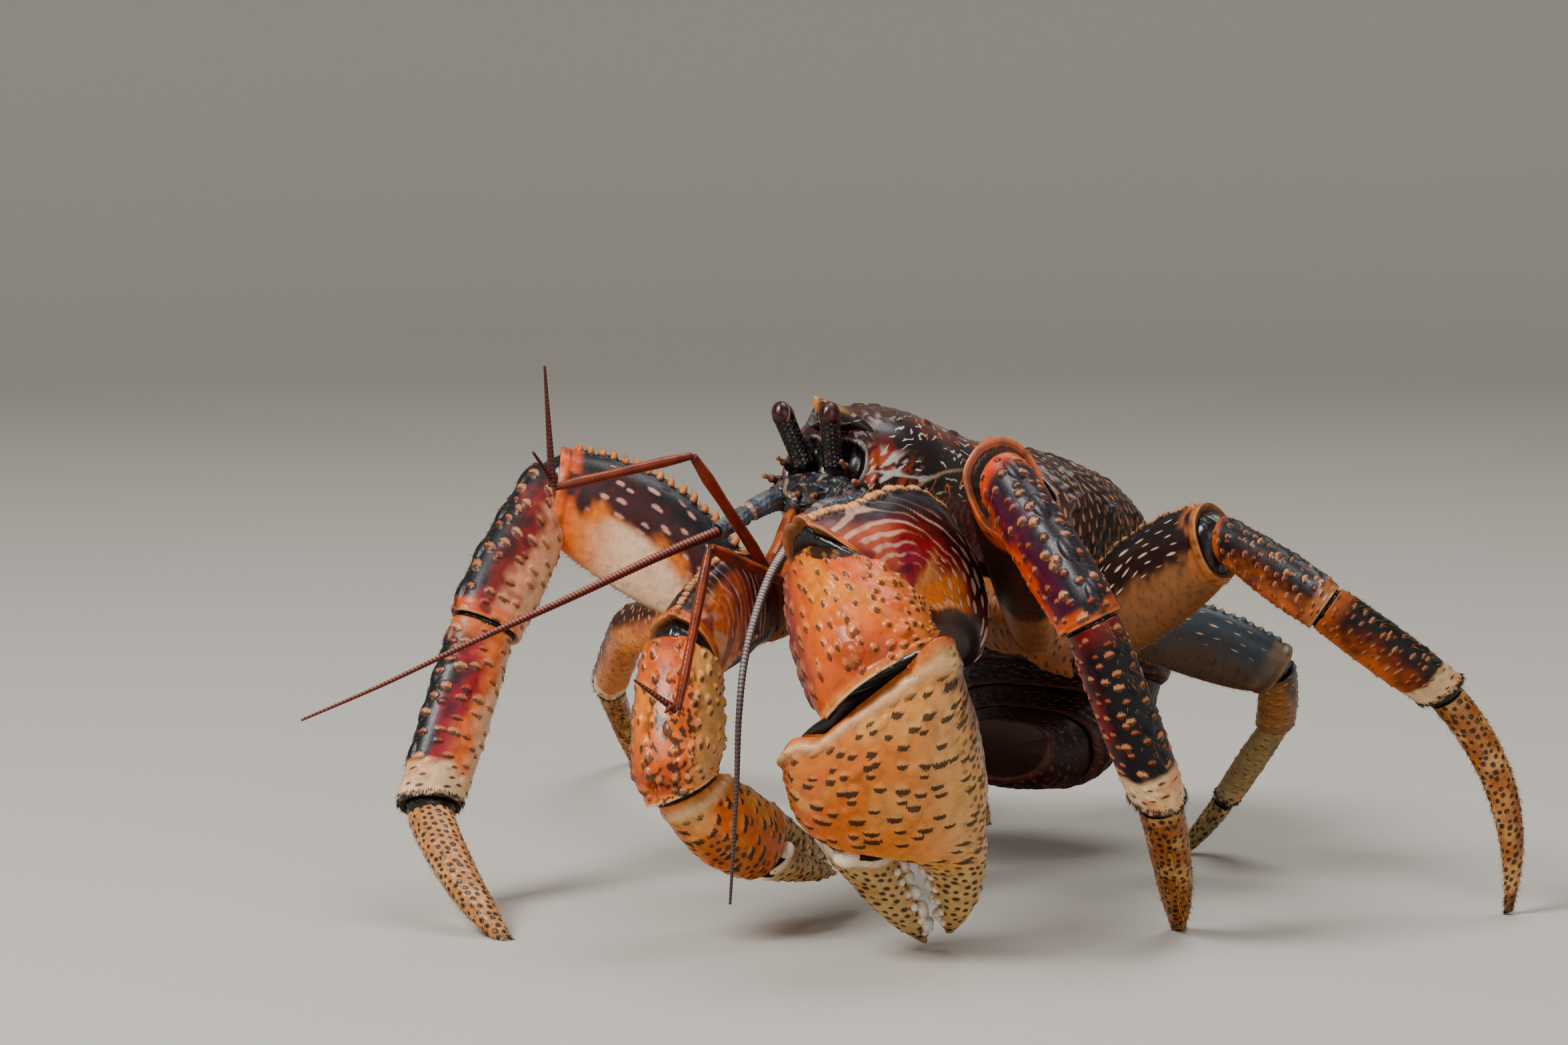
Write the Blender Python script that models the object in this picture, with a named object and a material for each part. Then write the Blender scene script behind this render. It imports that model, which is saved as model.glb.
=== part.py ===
"""A coconut crab (Birgus latro), life size, standing as it walks over the ground.

Frame: the crab faces -Y, its left side is +X and +Z is up. Sizes below are in millimetres.
The origin is on the floor under the middle of the crab's bounding box.
"""
import math

import bmesh
import bpy
from mathutils import Matrix, Vector

MM = 0.001
GAP = 0.3  # clear space between two nodes that meet

# The body frame: x to the crab's left, y to its rear, z up, tipped so that the front is raised.
BODY_PITCH = 14.0
BODY_AT = Vector((-17.7, 104.8, 127.7))
CENTRE_SHIFT = Vector((34.0, -79.5, 0.0))

# Stations of the trunk along the body's y: half width, top and bottom.
TRUNK = (
    (-52, 18, 18, -12),
    (-47, 22, 22, -18),
    (-40, 26, 24.5, -23),
    (-30, 29, 26, -28),
    (-16, 30, 26, -31),
    (-4, 33, 25, -33),
    (8, 41, 23.5, -34),
    (16, 47, 22, -34),
    (24, 52, 23.5, -34),
    (38, 57, 25, -32),
    (54, 58, 23.5, -28),
    (66, 53, 18.5, -21),
    (75, 42, 11, -13),
    (80, 29, 5, -9),
)
TRUNK_MID = -3  # height of the widest line
SHIELD_FRONT = -52
GROOVE_Y = 16  # the cervical groove, which parts the shield from the rear carapace
CARAPACE_EDGE = -19  # the carapace's lower edge
# The underside between the legs: y, half width at the top and how low it reaches.
THORAX = (
    (-45, 15, -29),
    (-34, 19, -36),
    (-14, 22, -40),
    (14, 24, -40),
    (38, 22, -35),
    (56, 17, -28),
    (70, 12, -23),
)
# The pointed hood over the eyes: y, half width, height and thickness.
ROSTRUM = (
    (-46, 15, 9, 8),
    (-51, 12, 15, 6),
    (-56, 7.5, 18, 4.5),
    (-60, 4.2, 19.5, 3.4),
    (-63, 1.5, 21, 2),
    (-67, 0.4, 22.5, 0.6),
)

# A leg: its hip in the body frame, then each article's length, azimuth and elevation in degrees.
LEG_LENGTHS = {
    "claw_left": (26, 60, 46, 60),
    "claw_right": (24, 50, 46, 50),
    "leg2": (24, 78, 58, 64, 62),
    "leg3": (24, 70, 50, 58, 74),
    "leg4": (20, 62, 30, 44, 27),
}
LEG_AIMS = {
    "claw_left": ((24, -34, -34), (-22, -12), (-97, 16), (-39, -37), (117, -63)),
    "claw_right": ((-24, -34, -34), (-75, -7), (-87, -14), (-59, -60), (77, -28)),
    "leg2_left": ((32, -7, -34), (-7, -9), (-70, 43), (-17, -46), (73, -63), (109, -50)),
    "leg2_right": ((-34, -6, -34), (-110, -13), (-161, 33), (-92, -51), (-88, -60), (-24, -34)),
    "leg3_left": ((34, 18, -32), (40, -35), (-6, 38), (-16, -23), (66, -32), (33, -73)),
    "leg3_right": ((-34, 18, -33), (160, -5), (155, -9), (154, -15), (133, -27), (115, -34)),
    "leg4_left": ((29, 42, -28), (28, -8), (28, -15), (121, -47), (149, -44), (-151, -50)),
    "leg4_right": ((-29, 42, -28), (150, -8), (135, -15), (62, -47), (31, -44), (-29, -50)),
}
COXA_ROOT = 0.35  # how far out a leg's root starts, as a share of its hip's distance
COXA_RISE = 3
# Rows of an article: place along it, half width across, rise to the crest, drop to the underside.
ISCHIUM = (
    (-0.3, 0.8, 0.8, 0.8),
    (0, 0.9, 0.95, 0.95),
    (0.6, 1, 1, 1),
    (1.0, 1, 1.05, 1),
    (1.3, 0.8, 0.8, 0.8),
)
MERUS = (
    (-0.12, 5.5, 7, 7),
    (0, 7.5, 11, 10),
    (0.2, 9, 17, 14),
    (0.5, 10.5, 21.5, 17),
    (0.8, 11.5, 18.5, 17),
    (1, 10.5, 12.5, 13),
    (1.12, 7, 7.5, 7.5),
)
CARPUS = (
    (-0.16, 5, 6, 6),
    (0, 8, 9.5, 9),
    (0.25, 9, 11.5, 11),
    (0.6, 9.5, 13.5, 12.5),
    (0.9, 9.3, 13.5, 12),
    (1, 8.8, 12, 11),
    (1.1, 6.5, 7.5, 7),
)
PROPODUS = (
    (-0.12, 5, 6, 6),
    (0, 7.5, 11.3, 9.5),
    (0.5, 8.3, 12.3, 10.7),
    (0.85, 8, 11.7, 10),
    (1, 7.2, 10.5, 8.8),
    (1.08, 5.5, 7, 6),
)
DACTYL = (
    (-0.1, 5, 5, 5),
    (0, 6.4, 6.8, 6.6),
    (0.35, 6.0, 6.8, 6.2),
    (0.7, 4.6, 5.2, 4.8),
    (0.92, 2.6, 2.8, 2.6),
    (1.04, 1.6, 1.7, 1.6),
)
# Girths of merus, carpus, propodus and dactyl against the second leg's.
LEG_GIRTH = {"leg2": (1, 1, 1, 1), "leg3": (0.84, 0.68, 0.75, 0.78), "leg4": (0.62, 0.55, 0.52, 0.55)}
DACTYL_BOW = {
    "leg2_left": 2,
    "leg2_right": 3,
    "leg3_left": 9,
    "leg3_right": 4,
    "leg4_left": 1.5,
    "leg4_right": 1.5,
}
# Half width and half height of each leg's root.
ISCHIUM_SIZE = {
    "claw_left": (12, 14),
    "claw_right": (9, 11),
    "leg2": (9, 11),
    "leg3": (8.5, 10.5),
    "leg4": (6, 6.5),
}
CLAW_MERUS = (
    (-0.16, 8, 13, 12),
    (-0.05, 9.5, 17, 15),
    (0.12, 12, 27, 18.5),
    (0.4, 14, 34, 21),
    (0.7, 14.5, 32, 20),
    (1, 15.5, 23, 17),
    (1.25, 10, 11, 10),
)
CLAW_CARPUS = (
    (-0.35, 9, 10, 9),
    (-0.1, 16, 18, 15),
    (0.2, 19.5, 23, 20),
    (0.6, 21, 25, 22),
    (0.9, 20, 23, 21),
    (1.05, 17, 19, 17),
    (1.2, 11, 12, 11),
)

# The claws: place along the palm, offset towards the moving finger, half height, half thickness.
PALM = (
    (-10, -14, 9, 8),
    (0, -8, 18, 14),
    (10, -3, 25, 18),
    (22, 0, 29.5, 20.5),
    (34, 0, 30.5, 20.5),
    (46, -2, 28, 18.5),
    (53, -5, 24, 16),
)
FIXED_FINGER = (
    (40, -16, 14, 14),
    (54, -19, 11.5, 11.5),
    (66, -20.5, 9, 9),
    (78, -20.5, 6.2, 6.5),
    (86, -19, 3.6, 4.0),
    (91, -17.5, 1.2, 1.4),
)
MOVING_FINGER = (
    (48, 10, 10.5, 12),
    (56, 9.5, 10.5, 11.5),
    (66, 5, 9, 9.5),
    (77, 0, 7.2, 7.2),
    (86, -5, 5.0, 5.0),
    (94, -9.5, 1.3, 1.5),
)
PALM_END = 52  # where the moving finger's hinge starts
HINGE_OFFSET = 10
HINGE_SLANT = (0.94, 0.34)  # the hinge plane's normal, along the claw and towards the moving finger
CLAW_GIRTH = {"claw_left": 1.0, "claw_right": 0.66}
CLAW_SCALE = {"claw_left": (1, 1, 1), "claw_right": (0.83, 0.52, 0.55)}
CLAW_FACING = {"claw_left": Vector((-0.84, -0.54, 0.0)), "claw_right": Vector((0.6, 0.0, -0.8))}

# Eyes: base and tip of each stalk in the body frame, and girths.
EYE_STALKS = {"left": ((5.5, -59, 1), (5.0, -66, 20)), "right": ((-5.5, -59, 1), (-12, -68.5, 19))}
STALK = ((0, 3.8), (0.2, 3.2), (0.7, 3.3), (0.82, 3.4))  # place along the stalk and radius
STALK_FOOT = 1.2  # how far above its base the stalk is cut, clear of the face
CORNEA = (3.5, 3.5, 4.2)  # half sizes of the eye itself
CORNEA_AT = 0.84
# The face between the shield's front and the feelers: y, half width, top and bottom.
FACE = ((-SHIELD_FRONT, 17, 6, -14), (55, 17, 0, -15), (60, 14, -1, -14), (64, 7, -5, -11))

MAXILLIPED = (
    (5.5, -42, -22),
    (5.5, -49, -23),
    (5.5, -55, -27),
    (6, -55, -34),
    (6.5, -51, -38),
)

# Feelers: routes in the crab's frame, from the face outwards.
ANTENNULES = {
    "left": ((-12, 41, 130), (-9, 13, 111), (-16, -17, 124), (-15, -36, 76), (-24, -46, 86)),
    "right": ((-23, 41, 130), (-19, 20, 113), (-27, -10, 151), (-51, -50, 143), (-53, -51, 180)),
}
ANTENNULE_RADII = (2.3, 1.9, 1.6, 1.3, 0.4)  # at the root, the three joints and the tip
STUB = 7  # how far a feeler's socket reaches back into the face
ELBOW_REACH = 3.5  # how far an article reaches past its joint before it is cut there
ANTENNAE = {
    "left": (
        (-4, 41.5, 132), (-7, 31, 131), (-8, 20, 125), (-4, -2, 114),
        (1, -22, 95), (4, -31, 76), (3, -31, 52), (-4, -24, 16),
    ),
    "right": (
        (-31, 44, 133), (-33, 36, 131), (-39, 22, 124), (-49, 2, 117),
        (-62, -28, 106), (-76, -58, 95), (-90, -84, 84), (-103, -107, 75),
    ),
}
ANTENNA_STEM = 3  # points of the route that the stem takes
STEM_TAPER = 1.0  # how much thinner the stem is at its end
ANTENNA_RADII = (3.6, 1.5, 0.45)  # stem, root and tip of the whip

# The abdomen, curled down and under behind the carapace, in the body frame.
ABDOMEN_CENTRE = (81, -39)  # y and z of the curl's centre
ABDOMEN_RADIUS = 33
ABDOMEN_SPAN = (86, -96)  # from the carapace to the tail, in degrees
ABDOMEN_PLATES = 5
ABDOMEN_GIRTH = ((0.0, 27, 15), (0.12, 34, 19), (0.35, 39, 21), (0.6, 36, 20), (0.8, 28, 17), (1.0, 17, 11))

HALF_SPACE = 400  # side of the block that makes a flat cut

# Rows of scutes and spines on an article: first and last place along it, how many, the angle
# round it in degrees (90 is the crest), then half length, half width and height of each.
LEG_SCUTES = {
    "merus": ((0.14, 0.96, 7, 90, 4.2, 3.0, 2.1),),
    "carpus": ((0.16, 0.88, 4, 90, 4.4, 2.6, 1.7),),
    "propodus": ((0.12, 0.93, 5, 90, 3.8, 2.2, 1.2),),
    "dactyl": ((0.25, 0.85, 3, 60, 0.9, 0.9, 1.7), (0.35, 0.85, 3, 125, 0.9, 0.9, 1.7)),
}
CLAW_SCUTES = {
    "merus": ((0.1, 1.0, 10, 92, 3.3, 3.0, 1.8),),
    "carpus": (
        (0.1, 0.8, 4, 70, 3.0, 3.6, 1.3),
        (0.0, 0.75, 4, 115, 3.0, 3.6, 1.3),
        (0.1, 0.7, 2, 160, 3.0, 3.6, 1.3),
    ),
    "palm": ((14, 44, 4, -72, 2.6, 3.2, 1.0), (10, 40, 4, -104, 2.6, 3.2, 1.0)),
    "fixed": ((60, 80, 4, 2, 2.6, 2.2, 2.0),),
    "moving": ((58, 79, 4, 180, 2.6, 2.2, 2.0),),
}
# The share of those rows that each limb carries: the smaller ones have fewer.
SCUTE_SHARE = {"claw_left": 1, "claw_right": 0.5, "leg2": 1, "leg3": 0.8, "leg4": 0.6}
TRUNK_SCUTES = {
    "shield": (
        (-50, -22, 4, 90, 2.6, 2.2, 1.2),
        (-40, -8, 3, 60, 2.6, 2.0, 0.9),
        (-40, -8, 3, 120, 2.6, 2.0, 0.9),
    ),
    "rear_carapace": ((22, 66, 4, 17, 3.6, 3.0, 1.2), (22, 66, 4, 163, 3.6, 3.0, 1.2)),
}
# Ridges across the rear carapace: y, first and last angle, and how high they stand.
CARAPACE_RIDGES = ((27, 33, 147, 1.0), (38, 31, 149, 1.1), (49, 31, 149, 1.1), (61, 33, 147, 1.0))
RIDGE_STEPS = 8
RIDGE_HALF_WIDTH = 2.2
SINK = 1.2  # how far the foot of a scute or a ridge reaches into the shell
PLATE_RIM = 1.06  # how much wider an abdomen plate stands at its rear rim
RING_SWELL = 0.1  # how much a feeler's rings swell and narrow, as a share of its radius
# Small spines on the face: root and tip in the body frame and the root's radius, mirrored.
FACE_SPINES = (
    ((11, -56, 0), (12, -66, 3), 1.8),
    ((14, -55, -4), (17, -65, -3), 2.2),
    ((3, -60, -7), (3.5, -67, -9), 1.8),
)
FLAGELLUM = (0.32, 9, 0.9)  # the short branch: place along the whip, how far it stands off, root radius

COLOURS = {
    "shell": (0.085, 0.045, 0.04),
    "rear": (0.11, 0.05, 0.04),
    "under": (0.36, 0.2, 0.12),
    "face": (0.06, 0.06, 0.07),
    "cornea": (0.2, 0.02, 0.02),
    "feeler": (0.22, 0.05, 0.03),
    "claw": (0.72, 0.26, 0.08),
    "claw_pale": (0.8, 0.5, 0.28),
    "leg": (0.3, 0.1, 0.08),
    "toe": (0.6, 0.28, 0.12),
    "abdomen": (0.16, 0.05, 0.05),
}

tilt = Matrix.Rotation(math.radians(-BODY_PITCH), 3, "X")
ACROSS, ABOVE = tilt @ Vector((1, 0, 0)), tilt @ Vector((0, 0, 1))  # the body's own left and up
parts = None  # the collection that holds the named parts


def clear_scene():
    for found in list(bpy.data.objects):
        bpy.data.objects.remove(found, do_unlink=True)


def from_body(x, y, z):
    """A point of the body frame in the crab's frame."""
    return BODY_AT + tilt @ Vector((x, y, z))


def heading(azimuth, elevation):
    turn, climb = math.radians(azimuth), math.radians(elevation)
    return Vector((math.cos(climb) * math.cos(turn), math.cos(climb) * math.sin(turn), math.sin(climb)))


def square_to(direction, hint):
    """The part of hint that is square to direction, as a unit vector."""
    return (hint - hint.dot(direction) * direction).normalized()


def catmull_rom(t, a, b, c, d):
    """The value at t between b and c of a smooth curve through four values."""
    bend = 2 * a - 5 * b + 4 * c - d
    twist = 3 * b - a - 3 * c + d
    return 0.5 * (2 * b + (c - a) * t + bend * t**2 + twist * t**3)


def smooth_rows(rows, count):
    """Rows spaced evenly by number along a smooth curve through the given rows."""
    found = []
    for k in range(count):
        place = k * (len(rows) - 1) / (count - 1)
        first = min(int(place), len(rows) - 2)
        t = place - first
        near = [rows[max(0, min(len(rows) - 1, first + step))] for step in (-1, 0, 1, 2)]
        found.append(tuple(catmull_rom(t, *values) for values in zip(*near)))
    return found


def ring(centre, across, up, width, rise, drop, powers=(2.2, 2.4), count=12):
    """A closed ring of points: a rounded section, with its own height above and below its centre."""
    points = []
    for k in range(count):
        c, s = math.cos(2 * math.pi * k / count), math.sin(2 * math.pi * k / count)
        power = powers[0] if s >= 0 else powers[1]
        x = width * math.copysign(abs(c) ** (2 / power), c)
        z = (rise if s >= 0 else drop) * math.copysign(abs(s) ** (2 / power), s)
        points.append(centre + across * x + up * z)
    return points


def mesh_object(name, shape):
    """An object from a bmesh in millimetres in the crab's frame."""
    bmesh.ops.recalc_face_normals(shape, faces=shape.faces)
    bmesh.ops.translate(shape, verts=shape.verts, vec=CENTRE_SHIFT)
    bmesh.ops.scale(shape, verts=shape.verts, vec=(MM, MM, MM))
    mesh = bpy.data.meshes.new(name)
    shape.to_mesh(mesh)
    shape.free()
    return bpy.data.objects.new(name, mesh)


def loft(rings):
    """A closed skin over rings that have the same number of points."""
    shape = bmesh.new()
    loops = [[shape.verts.new(point) for point in points] for points in rings]
    for low, high in zip(loops, loops[1:]):
        for k in range(len(low)):
            n = (k + 1) % len(low)
            shape.faces.new((low[k], low[n], high[n], high[k]))
    shape.faces.new(loops[0][::-1])
    shape.faces.new(loops[-1])
    return mesh_object("piece", shape)


class Shell:
    """A lofted shape: profile rows, and a function that turns a row into a section's place and size."""

    def __init__(self, rows, section, powers):
        self.rows, self.section, self.powers = rows, section, powers

    def loft(self, rings, count):
        sections = [self.section(row) for row in smooth_rows(self.rows, rings)]
        return loft([ring(*section, self.powers, count) for section in sections])

    def at(self, place, degrees):
        """The point of the surface at a place along it and an angle round it, and the outward direction."""
        dense = smooth_rows(self.rows, 40)
        after = next((k for k in range(1, len(dense)) if dense[k][0] >= place), len(dense) - 1)
        low, high = dense[after - 1], dense[after]
        share = (place - low[0]) / (high[0] - low[0])
        row = [a + (b - a) * share for a, b in zip(low, high)]
        centre, across, up, width, rise, drop = self.section(row)
        c, s = math.cos(math.radians(degrees)), math.sin(math.radians(degrees))
        height, power = (rise, self.powers[0]) if s >= 0 else (drop, self.powers[1])
        x = math.copysign(abs(c) ** (2 / power), c)
        z = math.copysign(abs(s) ** (2 / power), s)
        out = across * math.copysign(abs(x) ** (power - 1), x) / width
        out += up * math.copysign(abs(z) ** (power - 1), z) / height
        return centre + across * (x * width) + up * (z * height), out.normalized()

    def scutes(self, plans, along, size=1.0, share=1.0):
        """Low rounded scutes in rows over the surface."""
        made = []
        for first, last, most, degrees, half_length, half_width, height in plans:
            count = math.ceil(most * share)
            for k in range(count):
                place = first + (last - first) * k / max(1, count - 1)
                point, out = self.at(place, degrees)
                made.append(scute(point, out, along, half_length * size, half_width * size, height * size))
        return made


def article(start, aim, up, length, rows, girth=1.0, powers=(2.0, 2.3), bow=0.0):
    """One article of a leg, along its axis and bowed towards its crest."""
    across = aim.cross(up)

    def section(row):
        t, width, rise, drop = row
        centre = start + aim * (t * length) + up * (4 * bow * t * (1 - t))
        return centre, across, up, width * girth, rise * girth, drop * girth

    return Shell(rows, section, powers)


def scute(point, out, along, half_length, half_width, height):
    """A low five-sided bump that stands on the shell."""
    forward = square_to(out, along)
    side = out.cross(forward)
    shape = bmesh.new()
    loops = []
    for lift, spread in ((-SINK, 1.0), (height * 0.55, 0.78)):
        corners = [math.radians(72 * k) for k in range(5)]
        loops.append(
            [
                shape.verts.new(
                    point + out * lift
                    + (forward * (half_length * math.cos(a)) + side * (half_width * math.sin(a))) * spread
                )
                for a in corners
            ]
        )
    tip = shape.verts.new(point + out * height)
    shape.faces.new(loops[0])
    for k in range(5):
        n = (k + 1) % 5
        shape.faces.new((loops[0][k], loops[0][n], loops[1][n], loops[1][k]))
        shape.faces.new((loops[1][k], loops[1][n], tip))
    return mesh_object("piece", shape)


def ridge(shell, place, first, last, height):
    """A low ridge round a shell at one place along it."""
    along = (shell.at(place + 2, 90)[0] - shell.at(place - 2, 90)[0]).normalized()
    rings = []
    for k in range(RIDGE_STEPS):
        share = k / (RIDGE_STEPS - 1)
        point, out = shell.at(place, first + (last - first) * share)
        lift = height * math.sin(math.pi * share) ** 0.5 if 0 < share < 1 else -SINK / 2
        low = point - out * SINK
        rings.append(
            [low - along * RIDGE_HALF_WIDTH, low + along * RIDGE_HALF_WIDTH, point + along + out * lift]
        )
    return loft(rings)


def half_space(point, normal):
    """A block that takes away what lies beyond a plane."""
    shape = bmesh.new()
    bmesh.ops.create_cube(shape, size=HALF_SPACE)
    turn = normal.to_track_quat("Z", "Y").to_matrix().to_4x4()
    place = Matrix.Translation(point + normal * HALF_SPACE / 2)
    bmesh.ops.transform(shape, matrix=place @ turn, verts=shape.verts)
    return mesh_object("cutter", shape)


def ellipsoid(centre, radii, turn):
    shape = bmesh.new()
    bmesh.ops.create_uvsphere(shape, u_segments=10, v_segments=7, radius=1)
    matrix = Matrix.Translation(centre) @ turn.to_4x4() @ Matrix.Diagonal((*radii, 1))
    bmesh.ops.transform(shape, matrix=matrix, verts=shape.verts)
    return mesh_object("piece", shape)


def route_points(points, step):
    """Points about step apart along a smooth curve through the route's own points."""
    length = sum((b - a).length for a, b in zip(points, points[1:]))
    count = max(3, round(length / step) + 1)
    dense = [Vector(row) for row in smooth_rows([tuple(p) for p in points], 12 * len(points))]
    runs = [0.0]
    for a, b in zip(dense, dense[1:]):
        runs.append(runs[-1] + (b - a).length)
    found = []
    for k in range(count):
        want = runs[-1] * k / (count - 1)
        i = next((n for n in range(1, len(runs)) if runs[n] >= want - 1e-9), len(runs) - 1)
        t = (want - runs[i - 1]) / max(1e-9, runs[i] - runs[i - 1])
        found.append(dense[i - 1].lerp(dense[i], min(1.0, t)))
    return found


def feeler(points, radii):
    """A tapered tube along points, made as a bevelled curve and turned into a closed mesh."""
    curve = bpy.data.curves.new("feeler", "CURVE")
    curve.dimensions = "3D"
    curve.bevel_depth = 1.0
    curve.bevel_resolution = 1
    curve.use_fill_caps = True
    spline = curve.splines.new("POLY")
    spline.points.add(len(points) - 1)
    for node, point, radius in zip(spline.points, points, radii):
        node.co = (*point, 1)
        node.radius = radius
    guide = bpy.data.objects.new("feeler", curve)
    bpy.context.scene.collection.objects.link(guide)
    bpy.context.view_layer.update()
    mesh = bpy.data.meshes.new_from_object(guide.evaluated_get(bpy.context.evaluated_depsgraph_get()))
    shape = bmesh.new()
    shape.from_mesh(mesh)
    bmesh.ops.remove_doubles(shape, verts=shape.verts, dist=1e-4)
    bpy.data.objects.remove(guide)
    return mesh_object("piece", shape)


def largest_surface(mesh):
    """Drops every closed surface of the mesh but the largest."""
    shape = bmesh.new()
    shape.from_mesh(mesh)
    bmesh.ops.triangulate(shape, faces=shape.faces)
    left, groups = set(shape.faces), []
    while left:
        group, stack = set(), [left.pop()]
        while stack:
            face = stack.pop()
            group.add(face)
            for edge in face.edges:
                for other in edge.link_faces:
                    if other in left:
                        left.remove(other)
                        stack.append(other)
        groups.append(group)

    def volume(group):
        return abs(sum(f.verts[0].co.dot(f.verts[1].co.cross(f.verts[2].co)) for f in group))

    keep = max(groups, key=volume)
    bmesh.ops.delete(shape, geom=[f for f in shape.faces if f not in keep], context="FACES")
    bmesh.ops.delete(shape, geom=[v for v in shape.verts if not v.link_faces], context="VERTS")
    shape.to_mesh(mesh)
    shape.free()


def combine(target, others, operation, solver):
    """One Boolean of the target with a collection of closed meshes, applied."""
    if not others:
        return
    group = bpy.data.collections.new("operands")
    bpy.context.scene.collection.children.link(group)
    for other in others:
        group.objects.link(other)
    change = target.modifiers.new(operation.lower(), "BOOLEAN")
    change.operation = operation
    change.operand_type = "COLLECTION"
    change.collection = group
    change.solver = solver
    bpy.context.view_layer.update()
    mesh = bpy.data.meshes.new_from_object(target.evaluated_get(bpy.context.evaluated_depsgraph_get()))
    target.modifiers.clear()
    target.data = mesh
    for other in others:
        bpy.data.objects.remove(other)
    bpy.data.collections.remove(group)


def trimmed(piece, cutters):
    """A piece cut flat before it is fused with others."""
    parts.objects.link(piece)
    combine(piece, cutters, "DIFFERENCE", "MANIFOLD")
    parts.objects.unlink(piece)
    return piece


def node(name, pieces, cutters, colour, rough=0.45, solver="MANIFOLD"):
    """A named part: its pieces fused, then cut, then kept as one closed surface."""
    made = pieces[0]
    made.name = name
    parts.objects.link(made)
    combine(made, pieces[1:], "UNION", solver)
    combine(made, cutters, "DIFFERENCE", solver)
    made.data.name = name
    largest_surface(made.data)
    made.data.shade_smooth()
    made.data.set_sharp_from_angle(angle=math.radians(50))
    finish = bpy.data.materials.new(name)
    finish.use_nodes = True
    shader = finish.node_tree.nodes["Principled BSDF"]
    shader.inputs["Base Color"].default_value = (*COLOURS[colour], 1)
    shader.inputs["Roughness"].default_value = rough
    shader.inputs["Metallic"].default_value = 0
    made.data.materials.clear()
    made.data.materials.append(finish)
    return made


def body_ring(y, half_width, top, bottom, powers=(2.3, 2.3), count=24):
    return ring(
        from_body(0, y, TRUNK_MID), ACROSS, ABOVE,
        half_width, top - TRUNK_MID, TRUNK_MID - bottom, powers, count,
    )


def belly_ring(y, half_width, bottom):
    """A ring of the underside, whose upper part the cut at the carapace's edge takes away."""
    return body_ring(y, half_width, TRUNK_MID + 1, bottom, (2.3, 2.8), 16)


def trunk():
    def section(row):
        y, half_width, top, bottom = row
        return from_body(0, y, TRUNK_MID), ACROSS, ABOVE, half_width, top - TRUNK_MID, TRUNK_MID - bottom

    return Shell(TRUNK, section, (2.3, 2.3))


def body_cut(y, z, forward, upward):
    """A cut square to the mirror plane of the body, which takes away what lies towards (forward, upward)."""
    return half_space(from_body(0, y, z), (tilt @ Vector((0, forward, upward))).normalized())


def coxa(hip, joint, aim, width, height):
    """A leg's root, from inside the underside to the hip, where it is cut square to the next article."""
    root = from_body(hip[0] * COXA_ROOT, hip[1], hip[2] + COXA_RISE)
    reach = joint - root
    up = square_to(reach.normalized(), ABOVE)
    past = 1 + width / reach.length
    rows = [(t, w * width, h * height, h * height) for t, w, h in ((0, 1, 1), (0.5, 1.05, 1), (past, 1, 0.9))]
    piece = article(root, reach.normalized(), up, reach.length, rows, 1.0, (2.2, 2.2))
    return trimmed(piece.loft(3, 10), [half_space(joint - aim * GAP / 2, aim)])


def make_trunk(legs):
    half = GAP / 2
    rostrum = loft(
        [
            ring(from_body(0, y, z), ACROSS, ABOVE, w, thick, thick * 0.7, (1.6, 2), 10)
            for y, w, z, thick in ROSTRUM
        ]
    )
    body, rearward = trunk(), tilt @ Vector((0, 1, 0))
    node(
        "shield", [body.loft(16, 24), rostrum, *body.scutes(TRUNK_SCUTES["shield"], rearward)],
        [body_cut(GROOVE_Y - half, 0, 1, 0), body_cut(0, CARAPACE_EDGE + half, 0, -1)], "shell", 0.35,
    )
    ridges = [ridge(body, *plan) for plan in CARAPACE_RIDGES]
    node(
        "rear_carapace",
        [body.loft(16, 24), *ridges, *body.scutes(TRUNK_SCUTES["rear_carapace"], rearward)],
        [body_cut(GROOVE_Y + half, 0, -1, 0), body_cut(0, CARAPACE_EDGE + half, 0, -1)], "rear", 0.4,
    )
    belly = loft([belly_ring(*row) for row in smooth_rows(THORAX, 9)])
    coxae = [
        coxa(LEG_AIMS[name][0], leg["joints"][0], leg["aims"][0], *ISCHIUM_SIZE[leg_kind(name)])
        for name, leg in legs.items()
    ]
    node("thorax", [belly, *coxae], [body_cut(0, CARAPACE_EDGE - half, 0, 1)], "under")


def leg_kind(name):
    return name if name.startswith("claw") else name.split("_")[0]


def plan_legs():
    """The joints of every leg, the direction of each article and the side that its crest faces."""
    legs = {}
    for name, (hip, *aims) in LEG_AIMS.items():
        lengths = LEG_LENGTHS[leg_kind(name)]
        joints, directions, ups = [from_body(*hip)], [], []
        for length, (azimuth, elevation) in zip(lengths, aims):
            aim = heading(azimuth, elevation)
            if ups:
                up = directions[-1].rotation_difference(aim) @ ups[-1]
            else:
                up = square_to(aim, Vector((0, 0, 1)))
            directions.append(aim)
            ups.append(square_to(aim, up))
            joints.append(joints[-1] + aim * length)
        legs[name] = {"joints": joints, "aims": directions, "ups": ups, "lengths": lengths}
    return legs


def joint_cuts(leg, first, last):
    """Flat cuts at the joints before article first and after article last, each set back by half the gap."""
    aims, joints = leg["aims"], leg["joints"]
    cuts = []
    normal = (aims[first - 1] + aims[first]).normalized() if first else aims[0]
    cuts.append(half_space(joints[first] + normal * GAP / 2, -normal))
    if last + 1 < len(aims):
        normal = (aims[last] + aims[last + 1]).normalized()
        cuts.append(half_space(joints[last + 1] - normal * GAP / 2, normal))
    return cuts


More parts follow.
